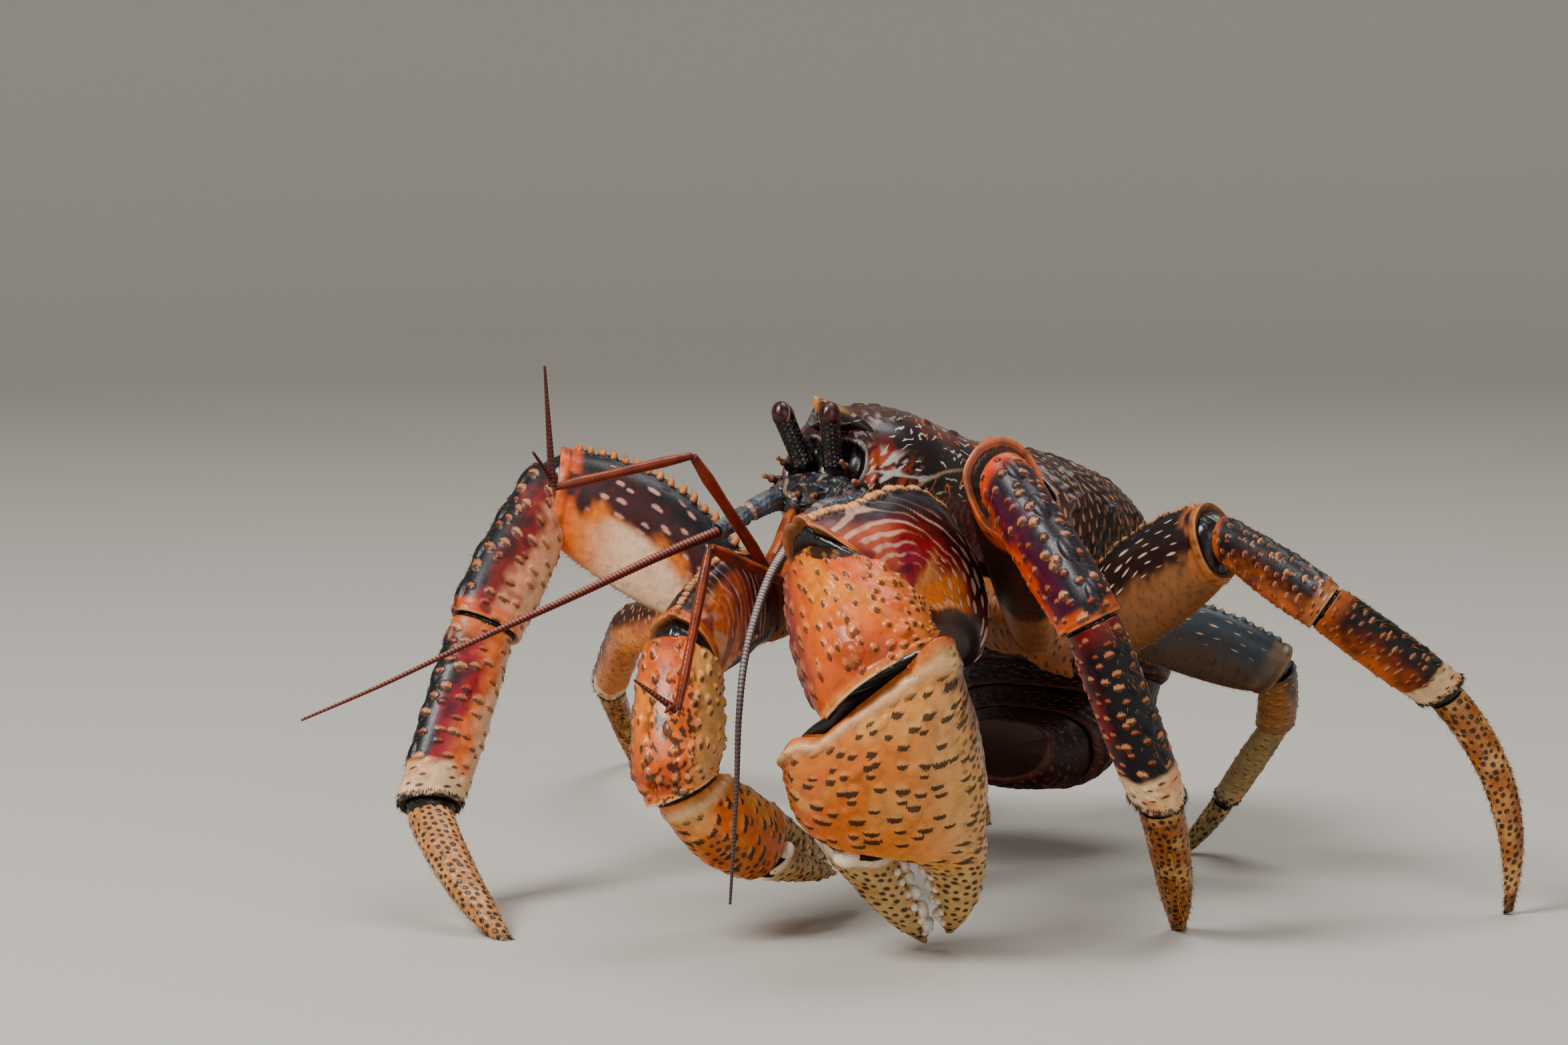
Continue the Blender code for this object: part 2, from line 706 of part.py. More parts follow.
def make_leg(name, leg):
    kind = leg_kind(name)
    joints, aims, ups, lengths = leg["joints"], leg["aims"], leg["ups"], leg["lengths"]
    width, height = ISCHIUM_SIZE[kind]
    ischium = [(t, w * width, r * height, d * height) for t, w, r, d in ISCHIUM]
    root = article(joints[0], aims[0], ups[0], lengths[0], ischium).loft(4, 10)
    floor = half_space(Vector((joints[5].x, joints[5].y, 0)), Vector((0, 0, -1)))
    articles = (("merus", MERUS, 9), ("carpus", CARPUS, 8), ("propodus", PROPODUS, 8), ("dactyl", DACTYL, 9))
    for k, (part, rows, rings) in enumerate(articles, 1):
        girth = LEG_GIRTH[kind][k - 1]
        bow = DACTYL_BOW[name] if part == "dactyl" else 0
        shell = article(joints[k], aims[k], ups[k], lengths[k], rows, girth, bow=bow)
        plans = LEG_SCUTES[part] if kind != "leg4" or part == "merus" else ()
        pieces = [shell.loft(rings, 12), *shell.scutes(plans, aims[k], girth, SCUTE_SHARE[kind])]
        cuts = joint_cuts(leg, k, k)
        if part == "merus":
            pieces.append(root)
            cuts = joint_cuts(leg, 0, 1)
        elif part == "dactyl":
            cuts.append(floor)
        node(f"{name}_{part}", pieces, cuts, "toe" if part == "dactyl" else "leg")


def claw_shell(rows, wrist, axis, high, thick, scale):
    """A piece of the claw: rows of place, offset, half height and half thickness along its axis."""
    along, tall, deep = scale

    def section(row):
        place, offset, half_height, half_thickness = row
        centre = wrist + axis * (place * along) + high * (offset * tall)
        return centre, high, thick, half_height * tall, half_thickness * deep, half_thickness * deep

    return Shell(rows, section, (2.2, 2.2))


def make_claw(name, leg):
    joints, aims, ups, lengths = leg["joints"], leg["aims"], leg["ups"], leg["lengths"]
    girth, scale, share = CLAW_GIRTH[name], CLAW_SCALE[name], SCUTE_SHARE[name]
    width, height = ISCHIUM_SIZE[name]
    ischium = [(t, w * width, r * height, d * height) for t, w, r, d in ISCHIUM]
    root = article(joints[0], aims[0], ups[0], lengths[0], ischium)
    upper = article(joints[1], aims[1], ups[1], lengths[1], CLAW_MERUS, girth, (1.9, 2.6))
    scutes = upper.scutes(CLAW_SCUTES["merus"], aims[1], girth, share)
    node(f"{name}_merus", [upper.loft(10, 14), root.loft(4, 10), *scutes], joint_cuts(leg, 0, 1), "claw")
    wrist_shell = article(joints[2], aims[2], ups[2], lengths[2], CLAW_CARPUS, girth, (2.2, 2.4))
    scutes = wrist_shell.scutes(CLAW_SCUTES["carpus"], aims[2], girth, share)
    node(f"{name}_carpus", [wrist_shell.loft(10, 14), *scutes], joint_cuts(leg, 2, 2), "claw")

    axis = aims[3]
    high = square_to(axis, CLAW_FACING[name])
    thick = axis.cross(high)
    palm, fixed, moving = (
        claw_shell(rows, joints[3], axis, high, thick, scale) for rows in (PALM, FIXED_FINGER, MOVING_FINGER)
    )
    normal = (aims[2] + aims[3]).normalized()
    wrist_cut = half_space(joints[3] + normal * GAP / 2, -normal)
    hinge = joints[3] + axis * (PALM_END * scale[0]) + high * (HINGE_OFFSET * scale[1])
    slant = (axis * HINGE_SLANT[0] + high * HINGE_SLANT[1]).normalized()
    hand = trimmed(palm.loft(9, 14), [half_space(hinge - slant * GAP / 2, slant)])
    scutes = palm.scutes(CLAW_SCUTES["palm"], axis, girth, share)
    scutes += fixed.scutes(CLAW_SCUTES["fixed"], axis, girth, share)
    node(f"{name}_palm", [hand, fixed.loft(8, 10), *scutes], [wrist_cut], "claw_pale")
    scutes = moving.scutes(CLAW_SCUTES["moving"], axis, girth, share)
    before = half_space(hinge + slant * GAP / 2, -slant)
    node(f"{name}_finger", [moving.loft(8, 10), *scutes], [before], "claw_pale")


def make_eyes():
    for side, (base, tip) in EYE_STALKS.items():
        base, tip = from_body(*base), from_body(*tip)
        aim = (tip - base).normalized()
        up = square_to(aim, tilt @ Vector((0, -1, 0)))
        length = (tip - base).length
        rows = [(t, radius, radius, radius) for t, radius in STALK]
        stalk = article(base, aim, up, length, rows, 1.0, (2, 2)).loft(6, 10)
        node(f"eyestalk_{side}", [stalk], [half_space(base + aim * STALK_FOOT, -aim)], "face", 0.35)
        eye = ellipsoid(base + aim * length * CORNEA_AT, CORNEA, aim.to_track_quat("Z", "Y").to_matrix())
        stalk_top = base + aim * (STALK[-1][0] * length + GAP)
        node(f"eye_{side}", [eye], [half_space(stalk_top, -aim)], "cornea", 0.1)


def make_face():
    rings = [body_ring(-y, w, top, bottom, (2.3, 2.3), 16) for y, w, top, bottom in FACE]
    sockets = []
    for routes, radius in ((ANTENNULES, ANTENNULE_RADII[0]), (ANTENNAE, ANTENNA_RADII[0])):
        for first, second, *_ in routes.values():
            aim = (Vector(second) - Vector(first)).normalized()
            ends = (Vector(first) - aim * STUB, Vector(first) - aim * GAP)
            sockets.append(feeler(ends, (radius * 1.5, radius * 1.1)))
    spines = []
    for (x, y, z), tip, radius in FACE_SPINES:
        for side in (1, -1):
            ends = (from_body(side * x, y, z), from_body(side * tip[0], tip[1], tip[2]))
            spines.append(feeler(ends, (radius, radius * 0.25)))
    node("face", [loft(rings), *sockets, *spines], [body_cut(SHIELD_FRONT - GAP, 0, 1, 0)], "face")
    for side, sign in (("left", 1), ("right", -1)):
        points = route_points([from_body(sign * x, y, z) for x, y, z in MAXILLIPED], 4)
        radii = [4.2 - 2 * k / (len(points) - 1) for k in range(len(points))]
        node(f"maxilliped_{side}", [feeler(points, radii)], [body_cut(THORAX[0][0] - GAP, 0, 1, 0)], "under")


def tapered(first, last, count, ringed):
    """Radii from the first to the last, swelling at every other point where the feeler is ringed."""
    radii = [first + (last - first) * k / (count - 1) for k in range(count)]
    swell = [1 + RING_SWELL * (1 if k % 2 else -1) if ringed else 1 for k in range(count)]
    return [radius * more for radius, more in zip(radii, swell)]


def make_feelers():
    for side, route in ANTENNULES.items():
        places = [Vector(p) for p in route]
        aims = [(b - a).normalized() for a, b in zip(places, places[1:])]
        for k, part in enumerate(("base", "arm", "forearm", "whip")):
            cuts = []
            start, end = places[k], places[k + 1]
            if k:
                normal = (aims[k - 1] + aims[k]).normalized()
                cuts.append(half_space(start + normal * GAP / 2, -normal))
                start = start - aims[k] * ELBOW_REACH
            if k < 3:
                normal = (aims[k] + aims[k + 1]).normalized()
                cuts.append(half_space(end - normal * GAP / 2, normal))
                end = end + aims[k] * ELBOW_REACH
            points = route_points([start, end], 4 if k == 3 else 9)
            first, last = ANTENNULE_RADII[k:k + 2]
            pieces = [feeler(points, tapered(first, last, len(points), k == 3))]
            if k == 3:
                share, off, radius = FLAGELLUM
                branch = start.lerp(end, share) + square_to(aims[k], Vector((0, -1, 0.3))) * off
                pieces.append(feeler([start + aims[k] * ELBOW_REACH, branch], (radius, radius * 0.4)))
            node(f"antennule_{side}_{part}", pieces, cuts, "feeler")
    for side, route in ANTENNAE.items():
        places = [Vector(p) for p in route]
        joint, past = places[ANTENNA_STEM - 1], places[ANTENNA_STEM]
        aim = (past - joint).normalized()
        stem = route_points([*places[:ANTENNA_STEM], joint + aim * ELBOW_REACH], 4)
        stem_radius, first, last = ANTENNA_RADII
        radii = tapered(stem_radius, stem_radius - STEM_TAPER, len(stem), False)
        beyond = half_space(joint - aim * GAP / 2, aim)
        node(f"antenna_{side}_stem", [feeler(stem, radii)], [beyond], "face")
        whip = route_points([joint - aim * ELBOW_REACH, *places[ANTENNA_STEM:]], 5)
        radii = tapered(first, last, len(whip), True)
        before = half_space(joint + aim * GAP / 2, -aim)
        node(f"antenna_{side}_whip", [feeler(whip, radii)], [before], "feeler")


def abdomen_frame(share):
    """Centre, outward and onward directions of the abdomen at a share of its length."""
    angle = math.radians(ABDOMEN_SPAN[0] + (ABDOMEN_SPAN[1] - ABDOMEN_SPAN[0]) * share)
    outward = tilt @ Vector((0, math.cos(angle), math.sin(angle)))
    onward = tilt @ Vector((0, math.sin(angle), -math.cos(angle)))
    centre = from_body(0, ABDOMEN_CENTRE[0], ABDOMEN_CENTRE[1]) + outward * ABDOMEN_RADIUS
    return centre, outward, onward


def make_abdomen():
    cuts = [k / (ABDOMEN_PLATES + 1) for k in range(1, ABDOMEN_PLATES + 1)]
    for k in range(ABDOMEN_PLATES + 1):
        first = cuts[k - 1] if k else 0.0
        last = cuts[k] if k < ABDOMEN_PLATES else 1.0
        rings = []
        stations = ((0, 1, GAP / 2), (0.3, 1, 0), (0.75, PLATE_RIM, 0), (0.9, PLATE_RIM, 0), (1, 1, -GAP / 2))
        for t, swell, inset in stations:
            share = first + (last - first) * t
            centre, outward, onward = abdomen_frame(share)
            _, wide, deep = girth_at(share)
            place = centre + onward * inset
            rings.append(ring(place, ACROSS, outward, wide * swell, deep * swell, deep * 0.8, (2.3, 2.6), 16))
        name = f"abdomen_plate_{k + 1}" if k < ABDOMEN_PLATES else "tail"
        node(name, [loft(rings)], [], "abdomen")


def girth_at(share):
    """The abdomen's share, half width and half depth there, by straight steps between its rows."""
    for low, high in zip(ABDOMEN_GIRTH, ABDOMEN_GIRTH[1:]):
        if share <= high[0]:
            t = (share - low[0]) / (high[0] - low[0])
            return tuple(a + (b - a) * t for a, b in zip(low, high))
    return ABDOMEN_GIRTH[-1]


def main():
    global parts
    clear_scene()
    parts = bpy.data.collections.new("coconut crab")
    bpy.context.scene.collection.children.link(parts)
    legs = plan_legs()
    make_trunk(legs)
    make_abdomen()
    make_face()
    make_eyes()
    make_feelers()
    for name, leg in legs.items():
        if name.startswith("claw"):
            make_claw(name, leg)
        else:
            make_leg(name, leg)


main()
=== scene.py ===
"""A coconut crab (Birgus latro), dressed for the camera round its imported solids.

The crab faces -Y, its left side is +X and +Z is up. Forms are worked out in millimetres in the
crab's own frame, and moved to the part's frame, in metres, as each mesh is made.
"""
import math

import bpy
import numpy as np
from mathutils import Matrix, Vector


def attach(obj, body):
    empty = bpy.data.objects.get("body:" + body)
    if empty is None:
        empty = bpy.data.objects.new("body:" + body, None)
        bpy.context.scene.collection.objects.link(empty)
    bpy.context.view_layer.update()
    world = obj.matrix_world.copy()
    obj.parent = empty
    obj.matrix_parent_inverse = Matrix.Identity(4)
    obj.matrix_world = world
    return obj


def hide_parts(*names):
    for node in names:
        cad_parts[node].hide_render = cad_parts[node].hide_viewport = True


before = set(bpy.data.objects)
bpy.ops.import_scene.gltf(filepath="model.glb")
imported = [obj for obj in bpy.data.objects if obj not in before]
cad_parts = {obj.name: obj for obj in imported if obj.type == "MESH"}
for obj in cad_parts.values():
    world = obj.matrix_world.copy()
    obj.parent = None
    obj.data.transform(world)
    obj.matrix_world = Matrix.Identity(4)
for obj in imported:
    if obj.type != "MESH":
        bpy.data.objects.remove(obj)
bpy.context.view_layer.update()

# The carapace: the crab's hard back, a thin limy shell in two halves that meet at the cervical
# groove. The front half, the shield, ends in a pointed rostrum over the eyes. It is smooth and
# waxy, black-maroon, with broken orange veins and pale flecks.
MM = 0.001
# The body's own frame is tipped nose up, with its origin here. The shift moves the crab's frame to
# the part's.
BODY_PITCH = 14.0
BODY_AT = np.array((-17.7, 104.8, 127.7))
CENTRE_SHIFT = np.array((34.0, -79.5, 0.0))
# Place along the body, half width, top and bottom.
TRUNK = (
    (-52, 18, 18, -12),
    (-47, 22, 22, -18),
    (-40, 26, 24.5, -23),
    (-30, 29, 26, -28),
    (-16, 30, 26, -31),
    (-4, 33, 25, -33),
    (8, 41, 23.5, -34),
    (16, 47, 22, -34),
    (24, 52, 23.5, -34),
    (38, 57, 25, -32),
    (54, 58, 23.5, -28),
    (66, 53, 18.5, -21),
    (75, 42, 11, -13),
    (80, 29, 5, -9),
)
TRUNK_MID = -3
GROOVE_Y = 16
CARAPACE_EDGE = -19
ORBIT_AT, ORBIT_RADIUS = (6, 2), 9  # an eye socket's middle, across and above, and its radius
# Place along the body, half width, height of the middle and half thickness.
ROSTRUM = (
    (-46, 15, 9, 8),
    (-51, 12, 15, 6),
    (-56, 7.5, 18, 4.5),
    (-60, 4.2, 19.5, 3.4),
    (-63, 1.5, 21, 2),
    (-67, 0.4, 22.5, 0.6),
)
TILT = np.array(Matrix.Rotation(math.radians(-BODY_PITCH), 3, "X"))
ACROSS, REARWARD, ABOVE = TILT[:, 0], TILT[:, 1], TILT[:, 2]
chance = np.random.default_rng(7)
JITTER = chance.random((64, 64, 3))


def linear(code):
    """An sRGB hex value as linear red, green, blue and alpha."""
    parts = [int(code[k:k + 2], 16) / 255 for k in (1, 3, 5)]
    return (*[c / 12.92 if c <= 0.04045 else ((c + 0.055) / 1.055) ** 2.4 for c in parts], 1.0)


def add(tree, kind, *inputs, out=0, **settings):
    """Adds a node, such as "MapRange" or "Math ADD", with its settings and links.

    Inputs are in socket order, or one dict by socket name or number. A Mix node takes its share at 0,
    the colour below at 6 and the one above at 7.
    """
    kind, _, operation = kind.partition(" ")
    if operation:
        settings["operation"] = operation
    node = tree.nodes.new("ShaderNode" + kind)
    for key, value in settings.items():
        setattr(node, key, value)
    named = inputs[0] if inputs and isinstance(inputs[0], dict) else dict(enumerate(inputs))
    for key, value in named.items():
        if isinstance(value, bpy.types.NodeSocket):
            tree.links.new(value, node.inputs[key])
        else:
            node.inputs[key].default_value = linear(value) if isinstance(value, str) else value
    return node.outputs[out] if node.outputs else None


def in_body(points):
    """Points of the body frame in the crab's frame."""
    return BODY_AT + np.asarray(points, float) @ TILT.T


def unit(vector):
    vector = np.asarray(vector, float)
    return vector / np.linalg.norm(vector)


def smooth(x, low, high):
    """0 below low, 1 above high, eased between; low may be the larger."""
    t = np.clip((x - low) / (high - low), 0, 1)
    return t * t * (3 - 2 * t)


def profile(rows, places):
    """The columns of a table of rows at the places given by its first column, on a smooth curve."""
    rows = np.array(rows, float)
    at = np.linspace(0, len(rows) - 1, 400)
    first = np.minimum(at.astype(int), len(rows) - 2)
    t = (at - first)[:, None]
    a, b = rows[np.maximum(first - 1, 0)], rows[first]
    c, d = rows[first + 1], rows[np.minimum(first + 2, len(rows) - 1)]
    dense = 0.5 * (
        2 * b + (c - a) * t + (2 * a - 5 * b + 4 * c - d) * t**2 + (3 * b - a - 3 * c + d) * t**3
    )
    dense = dense[dense[:, 0].argsort()]
    return [np.interp(places, dense[:, 0], dense[:, k]) for k in range(1, rows.shape[1])]


def wander(s, r, pitch, seed=0):
    """Smooth noise from 0 to 1 over a surface, with features about pitch millimetres across."""
    x, y = s / pitch + 17 + seed * 7.3, r / pitch + 29 + seed * 3.1
    x0, y0 = np.floor(x).astype(int), np.floor(y).astype(int)
    u, v = x - x0, y - y0
    u, v = u * u * (3 - 2 * u), v * v * (3 - 2 * v)
    corner = JITTER[:, :, seed % 3]
    a, b = corner[x0 % 64, y0 % 64], corner[(x0 + 1) % 64, y0 % 64]
    c, d = corner[x0 % 64, (y0 + 1) % 64], corner[(x0 + 1) % 64, (y0 + 1) % 64]
    return (a * (1 - u) + b * u) * (1 - v) + (c * (1 - u) + d * u) * v


class Surface:
    """Rings of points round a form, and what lies on it: relief, its coat of colour and its marks.

    place runs along it, turn is the angle round it in degrees with 90 at the crest, and s and r
    are millimetres along it and round it from the crest.
    """

    TURN_RADIUS = 28  # after encircle, s is true millimetres at this radius

    def __init__(self, place, centres, across, up, sizes, powers=(2.0, 2.0), count=96):
        width, rise, drop = (
            size if np.ndim(size) == 2 else np.broadcast_to(size, place.shape)[:, None] for size in sizes
        )
        self.place = place[:, None]
        self.turn = (np.arange(count) / count * 360 - 90)[None, :]
        c, s = np.cos(np.radians(self.turn)), np.sin(np.radians(self.turn))
        power = np.where(s >= 0, powers[0], powers[1])
        x = np.sign(c) * np.abs(c) ** (2 / power) * width
        z = np.sign(s) * np.abs(s) ** (2 / power) * np.where(s >= 0, rise, drop)
        self.centres = centres[:, None, :]
        self.points = self.centres + across * x[..., None] + up * z[..., None]
        self.measure()

    def measure(self):
        """Works out s, r and the outward directions again from the points as they are."""
        p = self.points
        around = np.roll(p, -1, axis=1) - np.roll(p, 1, axis=1)
        out = np.cross(around, np.gradient(p, axis=0))
        out /= np.maximum(np.linalg.norm(out, axis=2, keepdims=True), 1e-9)
        self.turned = (out * (p - self.centres)).sum() < 0
        self.out = -out if self.turned else out
        steps = np.linalg.norm(np.roll(p, -1, axis=1) - p, axis=2)
        runs = np.concatenate([np.zeros((len(p), 1)), np.cumsum(steps, axis=1)], axis=1)
        self.full_r = runs - runs[:, p.shape[1] // 2][:, None]
        self.r = self.full_r[:, :-1]
        hops = np.linalg.norm(np.diff(self.centres[:, 0], axis=0), axis=1)
        self.s = np.concatenate([[0.0], np.cumsum(hops)])[:, None] + 0 * self.r
        if not hasattr(self, "lift"):
            self.lift = np.zeros(p.shape[:2])
            self.coat = np.zeros(p.shape)
            self.marks = np.zeros(p.shape)
            self.ovals = np.full(p.shape, 3.0)

    def spot(self, place, degrees):
        """s and r of the point at a place along it and an angle round it."""
        row = int(np.abs(self.place[:, 0] - place).argmin())
        column = int(np.abs(self.turn[0] - ((degrees + 90) % 360 - 90)).argmin())
        return self.s[row, column], self.r[row, column]

    def stir(self, reach, pitch, seed=0):
        """Bends s and r by up to reach millimetres, so that no pattern on it lies in ruled rows."""
        s, r = np.concatenate([self.s, self.s[:, :1]], axis=1), self.full_r
        self.full_r = r + reach * (wander(s, r, pitch, seed + 1) - 0.5)
        self.s = (s + reach * (wander(s, r, pitch, seed) - 0.5))[:, :-1]
        self.r = self.full_r[:, :-1]

    def encircle(self, centre, along, above):
        """Makes s run round a point of the plane of two directions, and r outward from it."""
        x, z = (self.points - centre) @ along, (self.points - centre) @ above
        self.r = np.hypot(x, z)
        self.full_r = np.concatenate([self.r, self.r[:, :1]], axis=1)
        self.s = self.TURN_RADIUS * np.arctan2(x, z)

    def mounds(self, plans, size=1.0, share=1.0, round_off=0.75):
        """Raises rows of scutes: first and last place, how many, angle, half sizes and height."""
        hill = np.zeros_like(self.lift)
        for first, last, most, degrees, half_length, half_width, height in plans:
            count = math.ceil(most * share)
            for k in range(count):
                s, r = self.spot(first + (last - first) * k / max(1, count - 1), degrees)
                off = ((self.s - s) / (half_length * size)) ** 2 + ((self.r - r) / (half_width * size)) ** 2
                hill = np.maximum(hill, height * size * np.clip(1 - off, 0, 1) ** round_off)
        self.lift = self.lift + hill
        return hill

    def scales(self, pitch, height, share=1.0, lean=0.7, seed=0):
        """Raises staggered scales that climb along the surface and drop at their far edge."""
        row = np.floor(self.r / pitch[1]).astype(int)
        along = self.s / pitch[0] + 0.5 * (row % 2) + 0.35 * JITTER[row % 64, seed % 64, 0]
        cell = np.floor(along).astype(int)
        u, v = along - cell, self.r / pitch[1] - row
        rise = np.where(u < lean, u / lean, (1 - u) / (1 - lean))
        keep = 0.5 + 0.5 * JITTER[cell % 64, (row + seed) % 64, 1]
        hill = height * np.clip(rise, 0, 1) ** 1.5 * np.sin(np.pi * np.clip(v, 0, 1)) ** 0.6 * keep * share
        self.lift = self.lift + hill
        return hill / max(height, 1e-9)

    def spots(self, pitch, half, height, share=1.0, stray=0.6, seed=0):
        """Raises ovals in loose staggered rows, and keeps how far each point lies from the nearest."""
        along, luck = np.zeros_like(self.lift), np.zeros_like(self.lift)
        nearest = along + 9
        row = np.floor(self.r / pitch[1]).astype(int)
        for by_row in (row - 1, row, row + 1):
            column = np.floor(self.s / pitch[0] - 0.5 * (by_row % 2)).astype(int)
            for by_column in (column - 1, column, column + 1):
                draw = JITTER[(by_column + seed) % 64, by_row % 64]
                s = (by_column + 0.5 + 0.5 * (by_row % 2) + stray * (draw[..., 0] - 0.5)) * pitch[0]
                r = (by_row + 0.5 + stray * (draw[..., 1] - 0.5)) * pitch[1]
                size = 0.75 + 0.5 * draw[..., 2]
                u = (self.s - s) / (half[0] * size)
                far = np.hypot(u, (self.r - r) / (half[1] * size))
                closer = far < nearest
                nearest = np.where(closer, far, nearest)
                along, luck = np.where(closer, u, along), np.where(closer, draw[..., 2], luck)
        self.lift = self.lift + height * share * np.clip(1 - nearest**2, 0, 1) ** 0.6
        self.ovals = np.stack([np.minimum(nearest, 3), along, luck], axis=-1)

    def patches(self, pitch, low, high, seed=0):
        """Soft patches about pitch millimetres across, 0 where the noise is below low, 1 above high."""
        return smooth(wander(self.s, self.r, pitch, seed), low, high)

    def facing(self, x, y, z, low=0.2, high=0.7):
        """How far each point faces a direction: 0 below low, 1 above high."""
        return smooth(self.out @ unit((x, y, z)), low, high)

    def paint(self, code, share=1.0):
        """Lays a colour over the coat where share is above 0."""
        share = np.clip(share * np.ones_like(self.lift), 0, 1)[..., None]
        self.coat = self.coat * (1 - share) + np.array(linear(code)[:3]) * share

    def mark(self, channel, share=1.0):
        """Sets how thickly one of the finish's three kinds of mark lies."""
        self.marks[..., channel] = np.clip(share * np.ones_like(self.lift), 0, 1)

    def rim(self, width):
        """1 along the last ring and within about width millimetres of it, fading back from there."""
        return smooth(np.linalg.norm(self.points - self.points[-1], axis=2), width, 0.6 * width)

    def curl(self, ends=(1, 1), depth=1.2):
        """Rolls the chosen ends inward as a rim, so that no edge is left open."""
        for end, wanted in ((0, ends[0]), (-1, ends[1])):
            if not wanted:
                continue
            step = self.centres[1 if end == 0 else -2, 0] - self.centres[end, 0]
            step = step / max(np.linalg.norm(step), 1e-9) * depth
            lifted = self.points[end] + self.out[end] * self.lift[end][:, None]
            inward = lifted.mean(axis=0) - lifted
            ring = lifted + inward / np.linalg.norm(inward, axis=1, keepdims=True) * 1.2 * depth + step
            self.extend(end, ring)

    def extend(self, end, ring):
        """Adds one more ring of points before the first or after the last."""
        def join(values, more):
            return np.concatenate([more, values] if end == 0 else [values, more])

        self.points = join(self.points, ring[None])
        self.out = join(self.out, self.out[end][None])
        self.centres = join(self.centres, ring.mean(axis=0)[None, None])
        for name in ("lift", "s", "r", "full_r", "coat", "marks", "ovals"):
            values = getattr(self, name)
            # A new ring takes 0.4 of its neighbour's colour, and so does the cap that closes it: painted
            # shade on the rim's inward face.
            more = values[end][None] * {"lift": 0, "coat": 0.4, "marks": 0}.get(name, 1)
            setattr(self, name, join(values, more))

    def finished(self):
        return self.points + self.out * self.lift[..., None]


def piece(name, surfaces, finish, slot, *nodes):
    """One mesh of closed surfaces, with the attributes that its finish reads."""
    points, corners, starts, coat, marks, ovals, skin = [], [], [], [], [], [], []
    base = loop = 0
    for form in surfaces:
        grid = form.finished()
        rings, count = grid.shape[:2]
        tips = grid[[0, -1]].mean(axis=1)
        points += [grid.reshape(-1, 3), tips]
        for store, values in ((coat, form.coat), (marks, form.marks), (ovals, form.ovals)):
            store += [values.reshape(-1, 3), values[[0, -1]].mean(axis=1)]
        ids = base + np.arange(rings * count).reshape(rings, count)
        beside = np.roll(ids, -1, axis=1)
        quads = np.stack([ids[:-1], beside[:-1], beside[1:], ids[1:]], axis=-1)
        s = np.concatenate([form.s, form.s[:, :1]], axis=1)
        where = np.stack([s, form.full_r, np.zeros_like(s)], axis=-1)
        around = np.stack([where[:-1, :-1], where[:-1, 1:], where[1:, 1:], where[1:, :-1]], axis=2)
        first = np.stack([beside[0], ids[0], np.full(count, base + rings * count)], axis=-1)
        last = np.stack([ids[-1], beside[-1], np.full(count, base + rings * count + 1)], axis=-1)
        ends = np.stack([where[[0, -1], :-1]] * 3, axis=2)
        if not form.turned:
            quads, around = quads[..., ::-1], around[..., ::-1, :]
            first, last = first[..., ::-1], last[..., ::-1]
        corners += [quads.reshape(-1), first.reshape(-1), last.reshape(-1)]
        starts.append(loop + 4 * np.arange(quads.size // 4))
        starts.append(loop + quads.size + 3 * np.arange(2 * count))
        skin += [around.reshape(-1, 3), ends.reshape(-1, 3)]
        loop += quads.size + 6 * count
        base += rings * count + 2
    points = (np.concatenate(points) + CENTRE_SHIFT) * MM
    points[:, 2] = np.maximum(points[:, 2], 0)
    corners, starts = np.concatenate(corners), np.concatenate(starts)
    mesh = bpy.data.meshes.new(name)
    mesh.vertices.add(len(points))
    mesh.vertices.foreach_set("co", points.astype(np.float32).ravel())
    mesh.loops.add(len(corners))
    mesh.loops.foreach_set("vertex_index", corners.astype(np.int32))
    mesh.polygons.add(len(starts))
    mesh.polygons.foreach_set("loop_start", starts.astype(np.int32))
    mesh.update(calc_edges=True)
    mesh.shade_smooth()
    for key, kind, domain, values in (
        ("coat", "FLOAT_VECTOR", "POINT", coat),
        ("marks", "FLOAT_VECTOR", "POINT", marks),
        ("ovals", "FLOAT_VECTOR", "POINT", ovals),
        ("skin", "FLOAT_VECTOR", "CORNER", skin),
    ):
        field = mesh.attributes.new(key, kind, domain)
        field.data.foreach_set("vector", np.concatenate(values).astype(np.float32).ravel())
    made = bpy.data.objects.new(f"{name}_shell" if name in nodes else name, mesh)
    bpy.context.scene.collection.objects.link(made)
    mesh.materials.append(finish)
    if nodes:
        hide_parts(*nodes)
    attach(made, "root")
    return made


def new_finish(name):
    """An empty material and the three attributes that a surface carries: coat, marks and skin."""
    finish = bpy.data.materials.new(name)
    finish.use_nodes = True
    tree = finish.node_tree
    tree.nodes.clear()
    coat = add(tree, "Attribute", out=1, attribute_name="coat")
    marks = add(tree, "Attribute", out=1, attribute_name="marks")
    skin = add(tree, "Attribute", out=1, attribute_name="skin")
    split = add(tree, "SeparateXYZ", marks).node
    return finish, tree, coat, split.outputs, skin


